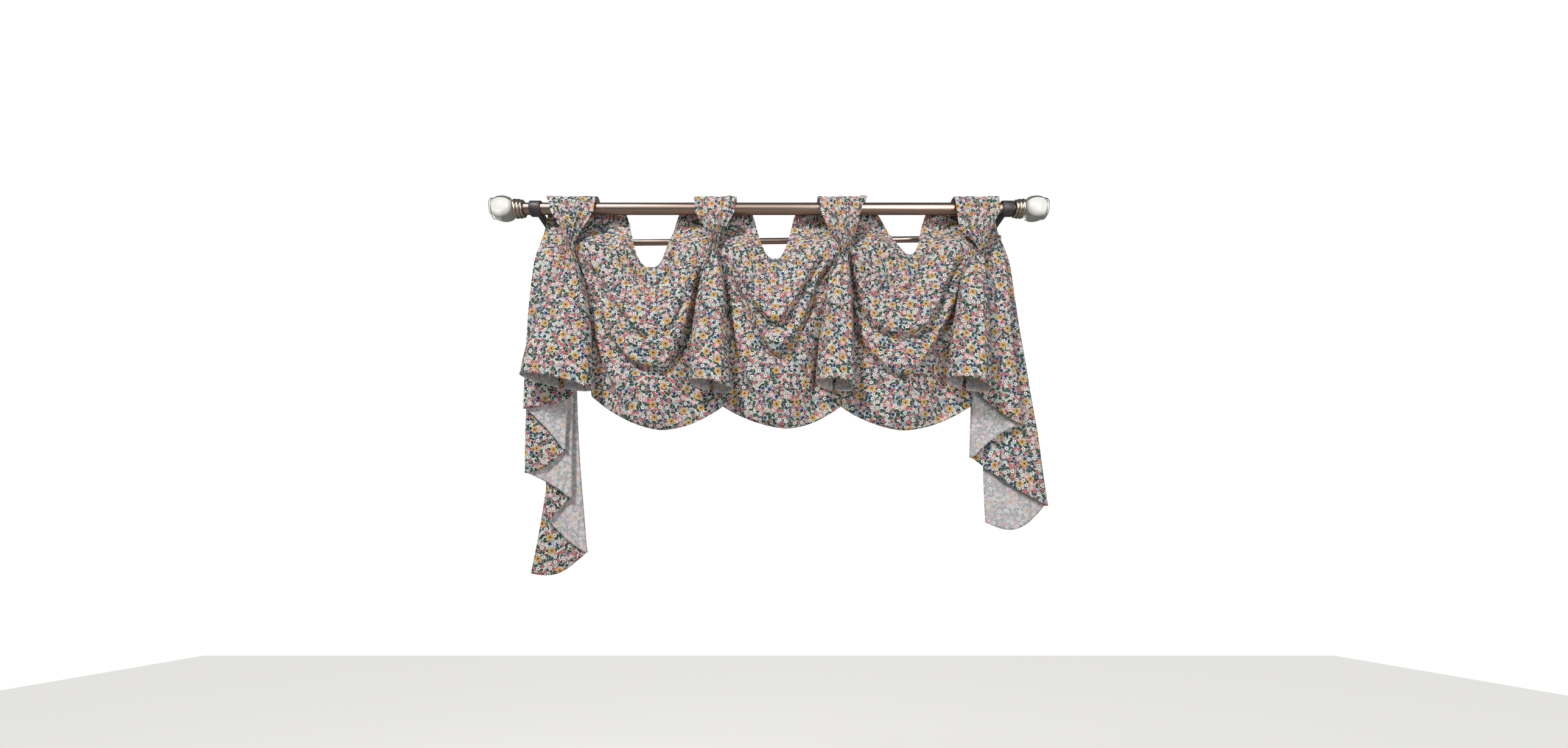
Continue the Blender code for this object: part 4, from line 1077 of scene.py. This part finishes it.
def edge_distances(grid, edges):
    """How far each point is from the nearest hemmed edge, along the cloth."""
    rows, columns = len(grid), len(grid[0])
    nearest = [[1.0] * columns for _ in grid]
    walks = {
        "bottom": [[(row, column) for row in reversed(range(rows))] for column in range(columns)],
        "top": [[(row, column) for row in range(rows)] for column in range(columns)],
        "left": [[(row, column) for column in range(columns)] for row in range(rows)],
        "right": [[(row, column) for column in reversed(range(columns))] for row in range(rows)],
    }
    for edge in edges:
        for walk in walks[edge]:
            run = 0.0
            before = None
            for row, column in walk:
                point = grid[row][column]
                if before is not None:
                    run += (point - before).length
                before = point
                nearest[row][column] = min(nearest[row][column], run)
    return nearest


def sheet_faces(body, grid, flipped):
    """Adds a grid of points to a bmesh as a sheet of four-sided faces."""
    lines = [[body.verts.new(point) for point in line] for line in grid]
    for upper, lower in zip(lines, lines[1:]):
        for column in range(len(upper) - 1):
            corners = (upper[column], lower[column], lower[column + 1], upper[column + 1])
            body.faces.new(corners[::-1] if flipped else corners)


def flat_places(grid, flipped):
    """Unrolls every third line of a sheet's grid: rows of places on the flat cloth, in metres."""
    row_picks = [*range(0, len(grid) - 1, UNROLL_STEP), len(grid) - 1]
    column_picks = [*range(0, len(grid[0]) - 1, UNROLL_STEP), len(grid[0]) - 1]
    body = bmesh.new()
    sheet_faces(body, [[grid[row][column] for column in column_picks] for row in row_picks], flipped)
    mould = object_from("unrolled", body)
    mesh = mould.data
    mesh.uv_layers.new(name="flat_cloth")
    bpy.ops.object.select_all(action="DESELECT")
    mould.select_set(True)
    bpy.context.view_layer.objects.active = mould
    bpy.ops.object.mode_set(mode="EDIT")
    bpy.ops.mesh.select_all(action="SELECT")
    bpy.ops.uv.unwrap(method="MINIMUM_STRETCH", margin=0.0, iterations=UNROLL_ROUNDS)
    bpy.ops.object.mode_set(mode="OBJECT")
    places = [None] * len(mesh.vertices)
    on_map = 0.0
    for face in mesh.polygons:
        corners = [mesh.uv_layers["flat_cloth"].uv[index].vector.copy() for index in face.loop_indices]
        for vertex, a, b in zip(face.vertices, corners, corners[1:] + corners[:1]):
            places[vertex] = a
            on_map += (a.x * b.y - b.x * a.y) / 2
    stretch = math.sqrt(sum(face.area for face in mesh.polygons) / abs(on_map))
    bpy.data.objects.remove(mould)
    bpy.data.meshes.remove(mesh)
    flat = []
    for row in range(len(grid)):
        above = min(row // UNROLL_STEP, len(row_picks) - 2)
        down = (row - row_picks[above]) / (row_picks[above + 1] - row_picks[above])
        line = []
        for column in range(len(grid[0])):
            before = min(column // UNROLL_STEP, len(column_picks) - 2)
            along = (column - column_picks[before]) / (column_picks[before + 1] - column_picks[before])
            first = above * len(column_picks) + before
            second = first + len(column_picks)
            upper = places[first].lerp(places[first + 1], along)
            lower = places[second].lerp(places[second + 1], along)
            line.append(upper.lerp(lower, down) * stretch)
        flat.append(line)
    return flat


def cloth_piece(name, grid, flipped, hemmed, sizes, finishes):
    """A sheet of cloth from a grid of points: print side out, reverse side in, hems doubled."""
    flat = [place for line in flat_places(grid, flipped) for place in line]
    body = bmesh.new()
    sheet_faces(body, grid, flipped)
    made = object_from(f"{name}_cloth", body)
    flat_cloth = made.data.uv_layers.new(name="flat_cloth")
    for corner in made.data.loops:
        flat_cloth.uv[corner.index].vector = flat[corner.vertex_index]
    made.data.shade_smooth()
    for finish in finishes:
        made.data.materials.append(finish)
    hem = made.vertex_groups.new(name="hem")
    thins_from, thins_to = (sizes.hem_width * share for share in HEM_THINS)
    columns = len(grid[0])
    for row, line in enumerate(edge_distances(grid, hemmed)):
        for column, away in enumerate(line):
            doubled = 1 - step(away, thins_from, thins_to)
            hem.add([row * columns + column], doubled, "REPLACE")
    thickness = made.modifiers.new("thickness", "SOLIDIFY")
    thickness.thickness = sizes.cloth_thickness / HEM_SHARE_OF_THICKNESS
    thickness.offset = 0.0
    thickness.vertex_group = "hem"
    thickness.thickness_vertex_group = HEM_SHARE_OF_THICKNESS
    thickness.material_offset = 1
    thickness.use_even_offset = False
    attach(made, "root")
    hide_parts(name)
    return made


def rings_around(body, profile, axis_y, axis_z):
    """Rings of points around an axis along X, from (x, radius) pairs."""
    rings = []
    for x, radius in profile:
        ring = []
        for side in range(ROUND_SIDES):
            angle = 2 * math.pi * side / ROUND_SIDES
            ring.append(body.verts.new((
                x, axis_y + radius * math.cos(angle), axis_z + radius * math.sin(angle),
            )))
        rings.append(ring)
    return rings


def skin(body, rings):
    """Faces from each ring of points to the next."""
    made = []
    for inner, outer in zip(rings, rings[1:]):
        for side in range(ROUND_SIDES):
            after = (side + 1) % ROUND_SIDES
            made.append(body.faces.new((inner[side], inner[after], outer[after], outer[side])))
    return made


def lathed(body, end_x, outward, profile, axis_y, axis_z):
    """Adds a turned shape along X to a bmesh, from a profile of distance out and radius."""
    places = [(end_x + outward * out, radius) for out, radius in profile]
    rings = rings_around(body, places, axis_y, axis_z)
    made = skin(body, rings)
    made.append(body.faces.new(rings[0][::-1]))
    made.append(body.faces.new(rings[-1]))
    bmesh.ops.recalc_face_normals(body, faces=made)


def ring_around(body, x, axis_y, axis_z, bore, wall, length):
    """Adds a short tube with rounded ends around a rod."""
    half = length / 2
    outer = bore + wall
    soft = wall * RING_SOFT
    corner = soft * RING_CORNER
    outline = (
        (-half, bore), (-half, outer - soft), (-half + corner, outer - corner), (-half + soft, outer),
        (half - soft, outer), (half - corner, outer - corner), (half, outer - soft), (half, bore),
    )
    rings = rings_around(body, [(x + out, radius) for out, radius in outline], axis_y, axis_z)
    made = skin(body, rings + rings[:1])
    bmesh.ops.recalc_face_normals(body, faces=made)


def rod_profile(radius, length):
    """A bar with softened ends, as distance out and radius."""
    soft = ROD_END_SOFT
    return (0.0, radius - soft), (soft, radius), (length - soft, radius), (length, radius - soft)


def block(body, low, high, soft):
    """Adds a block with rounded edges to a bmesh."""
    low, high = Vector(low), Vector(high)
    made = bmesh.ops.create_cube(body, size=1.0)["verts"]
    for vert in made:
        vert.co = Vector(mix(a, b, part + 0.5) for a, b, part in zip(low, high, vert.co))
    edges = dict.fromkeys(edge for vert in made for edge in vert.link_edges)
    bmesh.ops.bevel(body, geom=list(edges), offset=soft, segments=3, profile=0.5, affect="EDGES")


def hard_piece(name, body, finish, sharp):
    """A finished rigid piece in place of its plain solid, sharp at edges over an angle."""
    made = object_from(f"{name}_finished", body)
    made.data.materials.append(finish)
    made.data.shade_smooth()
    made.data.set_sharp_from_angle(angle=math.radians(sharp))
    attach(made, "root")
    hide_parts(name)


# The stage, measured like the tables from the rods' middle
FLOOR_SIZE = 8.0
FLOOR_MIDDLE = (0.0, -1.0, -2.1)
Light = namedtuple("Light", "name place aim width height power lights_cloth reflected")
LIGHTS = (
    Light("key_softbox", (-1.25, -2.10, 1.40), (0.0, -0.15, -0.30), 0.45, 0.45, 54.0, True, True),
    Light("fill_softbox", (1.10, -1.80, -0.55), (0.15, -0.15, -0.45), 1.2, 1.2, 12.0, True, True),
    Light("back_softbox", (0.60, 1.90, 0.50), (0.0, -0.15, -0.30), 1.2, 1.2, 11.0, True, False),
    Light("rod_lamp", (0.53, -1.22, 0.06), (0.28, -0.15, 0.0), 0.19, 0.90, 7.0, False, True),
    Light("rod_strip", (0.0, -1.20, 0.30), (0.0, -0.15, 0.0), 2.60, 0.90, 13.0, False, True),
)
CAMERA_PLACE = Vector((0.0, -1.25, -0.75))
CAMERA_TURN = (math.radians(100), 0.0, 0.0)
CAMERA_LENS = 12.80
CAMERA_SENSOR = 36.0
CAMERA_SHIFT = (0.0097, 0.0551)


class SwagSizes(bpy.types.PropertyGroup):
    cloth_thickness: bpy.props.FloatProperty(
        name="Cloth thickness", description="Thickness of one layer of cotton",
        default=0.0006, min=0.0002, max=0.002, unit="LENGTH",
    )
    hem_width: bpy.props.FloatProperty(
        name="Hem width", description="Width of the turned and stitched hem",
        default=0.007, min=0.003, max=0.03, unit="LENGTH",
    )
    crease_depth: bpy.props.FloatProperty(
        name="Crease depth", description="Height of the fine creases along the folds",
        default=0.0032, min=0.0, max=0.006, unit="LENGTH",
    )
    thread_spacing: bpy.props.FloatProperty(
        name="Thread spacing", description="Between threads, drawn coarser than the real 0.3 mm to show",
        default=0.0007, min=0.0002, max=0.003, unit="LENGTH",
    )


class SwagColours(bpy.types.PropertyGroup):
    reverse_ground: bpy.props.FloatVectorProperty(
        name="Reverse", description="Greyed colour of the unprinted side",
        default=linear(REVERSE_HEX)[:3], subtype="COLOR", min=0.0, max=1.0,
    )
    rod: bpy.props.FloatVectorProperty(
        name="Rods", description="Pewter brown lacquer of both rods",
        default=linear("A08B7E")[:3], subtype="COLOR", min=0.0, max=1.0,
    )
    bracket: bpy.props.FloatVectorProperty(
        name="Brackets", description="Powder coat of both brackets",
        default=linear("38333A")[:3], subtype="COLOR", min=0.0, max=1.0,
    )
    collar: bpy.props.FloatVectorProperty(
        name="Collars", description="Plated metal of both collars",
        default=linear("C9BDAA")[:3], subtype="COLOR", min=0.0, max=1.0,
    )


class ClothOperator:
    """What the three cloth operators share: the printed face and the reverse of the cotton."""

    bl_options = {"REGISTER", "UNDO"}

    def cotton(self, context):
        sizes, colours = context.scene.swag_sizes, context.scene.swag_colours
        return (
            material_once("printed_cotton_face", cotton_face, sizes),
            material_once("printed_cotton_reverse", cotton_reverse, colours, sizes),
        )


class SWAG_OT_swags(ClothOperator, bpy.types.Operator):
    """Drapes the three panels between the knots"""

    bl_idname = "window_swag.drape_swags"
    bl_label = "Drape the swags"

    def execute(self, context):
        sizes = context.scene.swag_sizes
        for number, swag in enumerate(SWAGS):
            seed = seed_for(SWAG_SEEDS, number)
            grid = swag_grid(swag, SWAG_COLUMNS, SWAG_ROWS, sizes.crease_depth, seed)
            made = cloth_piece(swag.name, grid, False, ("bottom", "top"), sizes, self.cotton(context))
        return {"FINISHED"}


class SWAG_OT_horns(ClothOperator, bpy.types.Operator):
    """Loops the four horns over the rod, gathered at the knot and open below"""

    bl_idname = "window_swag.loop_horns"
    bl_label = "Loop the horns"

    def execute(self, context):
        sizes = context.scene.swag_sizes
        for number, horn in enumerate(HORNS):
            seed = seed_for(HORN_SEEDS, number)
            grid = horn_grid(horn, HORN_COLUMNS, HORN_STEPS, sizes.crease_depth, seed)
            made = cloth_piece(
                horn.name, grid, False, ("bottom", "left", "right"), sizes, self.cotton(context)
            )
        return {"FINISHED"}


class SWAG_OT_cascades(ClothOperator, bpy.types.Operator):
    """Folds the long and the short end cascades"""

    bl_idname = "window_swag.fold_cascades"
    bl_label = "Fold the cascades"

    def execute(self, context):
        sizes = context.scene.swag_sizes
        for number, tail in enumerate(TAILS):
            grid = tail_grid(tail, TAIL_ROWS, sizes.crease_depth, seed_for(TAIL_SEEDS, number))
            flipped = tail.lines[1].hem_x < tail.lines[0].hem_x
            made = cloth_piece(
                tail.name, grid, flipped, ("bottom", "left", "right"), sizes, self.cotton(context)
            )
        return {"FINISHED"}


class SWAG_OT_rods(ClothOperator, bpy.types.Operator):
    """Makes the front rod and the thinner rear rod"""

    bl_idname = "window_swag.make_rods"
    bl_label = "Make the rods"

    def execute(self, context):
        steel = material_once("lacquered_steel_tube", drawn_steel, context.scene.swag_colours)
        body = bmesh.new()
        lathed(body, ROD_LEFT, 1, rod_profile(ROD_RADIUS, ROD_RIGHT - ROD_LEFT), ROD_Y, 0.0)
        hard_piece("rod_front", body, steel, ROD_SHARP)
        start, end = (Vector((bracket.x, REAR_ROD_Y, bracket.rear_z)) for bracket in BRACKETS)
        along = (end - start).normalized()
        length = (end - start).length + 2 * REAR_ROD_PAST_RING
        body = bmesh.new()
        lathed(body, 0.0, 1, rod_profile(REAR_ROD_RADIUS, length), 0.0, 0.0)
        turn = Vector((1.0, 0.0, 0.0)).rotation_difference(along).to_matrix().to_4x4()
        move = Matrix.Translation(start - along * REAR_ROD_PAST_RING)
        bmesh.ops.transform(body, matrix=move @ turn, verts=body.verts)
        hard_piece("rod_rear", body, steel, ROD_SHARP)
        return {"FINISHED"}


class SWAG_OT_brackets(ClothOperator, bpy.types.Operator):
    """Makes both brackets: wall plate, arm, and a ring for each rod"""

    bl_idname = "window_swag.make_brackets"
    bl_label = "Make the brackets"

    def execute(self, context):
        coat = material_once("dark_powder_coat", powder_coat, context.scene.swag_colours)
        for bracket in BRACKETS:
            x = bracket.x
            body = bmesh.new()
            half = PLATE / 2
            block(body, (x - half.x, -PLATE.y, -half.z), (x + half.x, 0.0, half.z), PLATE_SOFT)
            arm_half = ARM_WIDTH / 2
            front_end = ROD_Y + ROD_RADIUS + FIT_GAP + RING_WALL * ARM_FROM_BORE
            back_end = -PLATE.y / 2
            block(body, (x - arm_half, front_end, ARM_LOW), (x + arm_half, back_end, ARM_HIGH), ARM_SOFT)
            hanger_top = ARM_LOW + HANGER_INTO_ARM
            hanger_low = bracket.rear_z + REAR_ROD_RADIUS + FIT_GAP + RING_WALL * HANGER_FROM_BORE
            if hanger_top - hanger_low > HANGER_LEAST:
                block(
                    body, (x - arm_half, REAR_ROD_Y - HANGER_DEPTH / 2, hanger_low),
                    (x + arm_half, REAR_ROD_Y + HANGER_DEPTH / 2, hanger_top), HANGER_SOFT,
                )
            ring_around(body, x, ROD_Y, 0.0, ROD_RADIUS + FIT_GAP, RING_WALL, RING_LENGTH)
            ring_around(
                body, x, REAR_ROD_Y, bracket.rear_z, REAR_ROD_RADIUS + FIT_GAP, RING_WALL, RING_LENGTH
            )
            hard_piece(bracket.name, body, coat, BRACKET_SHARP)
        return {"FINISHED"}


class SWAG_OT_finials(ClothOperator, bpy.types.Operator):
    """Turns the ringed collars and presses the clear glass knobs"""

    bl_idname = "window_swag.make_finials"
    bl_label = "Make the finials"

    def execute(self, context):
        nickel = material_once("brushed_nickel_plate", turned_nickel, context.scene.swag_colours)
        glass = material_once("clear_moulded_glass", moulded_glass)
        for side, end_x, outward in (("left", ROD_LEFT, -1), ("right", ROD_RIGHT, 1)):
            body = bmesh.new()
            lathed(body, end_x, outward, COLLAR_PROFILE, ROD_Y, 0.0)
            hard_piece(f"collar_{side}", body, nickel, FINIAL_SHARP)
            body = bmesh.new()
            lathed(body, end_x, outward, KNOB_PROFILE, ROD_Y, 0.0)
            hard_piece(f"knob_{side}", body, glass, FINIAL_SHARP)
        return {"FINISHED"}


class SWAG_OT_stage(bpy.types.Operator):
    """Sets the floor, the soft lights, the pale surround and the camera"""

    bl_idname = "window_swag.set_stage"
    bl_label = "Set the stage"

    def execute(self, context):
        scene = context.scene
        body = bmesh.new()
        bmesh.ops.create_grid(body, x_segments=8, y_segments=8, size=FLOOR_SIZE)
        bmesh.ops.translate(body, verts=body.verts, vec=FLOOR_MIDDLE)
        floor = object_from("floor", body)
        floor.data.materials.append(pale_floor())

        world = bpy.data.worlds.new("white_surround")
        world.use_nodes = True
        tree = world.node_tree
        back = tree.nodes["Background"]
        # The surround lights the cloth softly and is seen as plain white, through the glass too.
        # The room in front stays dim, which gives the glass its dark edges.
        seen = add_node(tree, "ShaderNodeLightPath", {}, {}).node.outputs
        way = add_node(tree, "ShaderNodeTexCoord", {}, {})
        ahead = add_node(tree, "ShaderNodeSeparateXYZ", {}, {0: way}).node.outputs[1]
        window = add_node(tree, "ShaderNodeMapRange", {}, {"Value": ahead, "From Min": 0.5, "From Max": 0.78})
        glass_ray = seen["Is Transmission Ray"]
        through = add_node(tree, MATH, {"operation": "MULTIPLY"}, {0: glass_ray, 1: window})
        white = add_node(tree, MATH, {"operation": "MAXIMUM"}, {0: seen["Is Camera Ray"], 1: through})
        strength = add_node(tree, "ShaderNodeMapRange", {}, {"Value": white, "To Min": 0.15, "To Max": 1.05})
        tree.links.new(strength, back.inputs["Strength"])
        back.inputs["Color"].default_value = (1.0, 1.0, 1.0, 1.0)
        scene.world = world
        scene.view_settings.view_transform = "Standard"

        # The two rod lights are seen only mirrored in the metal and the glass, never through
        # the glass, and the light behind only falls on the back of the cloth.
        for light in LIGHTS:
            lamp = bpy.data.lights.new(light.name, "AREA")
            lamp.shape = "RECTANGLE"
            lamp.size = light.width
            lamp.size_y = light.height
            lamp.energy = light.power
            stand = bpy.data.objects.new(light.name, lamp)
            stand.location = Vector(light.place) + FROM_PLATE
            way = Vector(light.aim) - Vector(light.place)
            stand.rotation_euler = way.to_track_quat("-Z", "Y").to_euler()
            stand.visible_diffuse = light.lights_cloth
            stand.visible_glossy = light.reflected
            stand.visible_transmission = light.lights_cloth and light.reflected
            scene.collection.objects.link(stand)

        lens = bpy.data.cameras.new("camera")
        lens.sensor_fit = "HORIZONTAL"
        lens.sensor_width = CAMERA_SENSOR
        lens.lens = CAMERA_LENS
        lens.shift_x, lens.shift_y = CAMERA_SHIFT
        lens.clip_start = 0.01
        camera = bpy.data.objects.new("camera", lens)
        camera.location = CAMERA_PLACE + FROM_PLATE
        camera.rotation_euler = CAMERA_TURN
        scene.collection.objects.link(camera)
        scene.camera = camera
        return {"FINISHED"}


class SWAG_PT_panel(bpy.types.Panel):
    """Lists the swag's pieces and settings"""

    bl_idname = "SWAG_PT_panel"
    bl_label = "Window swag"
    bl_space_type = "VIEW_3D"
    bl_region_type = "UI"
    bl_category = "Swag"

    def draw(self, context):
        for name in SwagSizes.__annotations__:
            self.layout.prop(context.scene.swag_sizes, name)
        for name in SwagColours.__annotations__:
            self.layout.prop(context.scene.swag_colours, name)
        for operator in OPERATORS:
            self.layout.operator(operator.bl_idname)


OPERATORS = (
    SWAG_OT_stage, SWAG_OT_rods, SWAG_OT_brackets, SWAG_OT_finials, SWAG_OT_swags, SWAG_OT_horns,
    SWAG_OT_cascades,
)
CLASSES = (SwagSizes, SwagColours, *OPERATORS, SWAG_PT_panel)


def register():
    for each in CLASSES:
        bpy.utils.register_class(each)
    bpy.types.Scene.swag_sizes = bpy.props.PointerProperty(type=SwagSizes)
    bpy.types.Scene.swag_colours = bpy.props.PointerProperty(type=SwagColours)


def unregister():
    del bpy.types.Scene.swag_colours
    del bpy.types.Scene.swag_sizes
    for each in reversed(CLASSES):
        bpy.utils.unregister_class(each)


def main():
    register()
    bpy.ops.window_swag.set_stage()
    bpy.ops.window_swag.make_rods()
    bpy.ops.window_swag.make_brackets()
    bpy.ops.window_swag.make_finials()
    bpy.ops.window_swag.drape_swags()
    bpy.ops.window_swag.loop_horns()
    bpy.ops.window_swag.fold_cascades()
    bpy.context.view_layer.update()


if __name__ == "__main__":
    main()
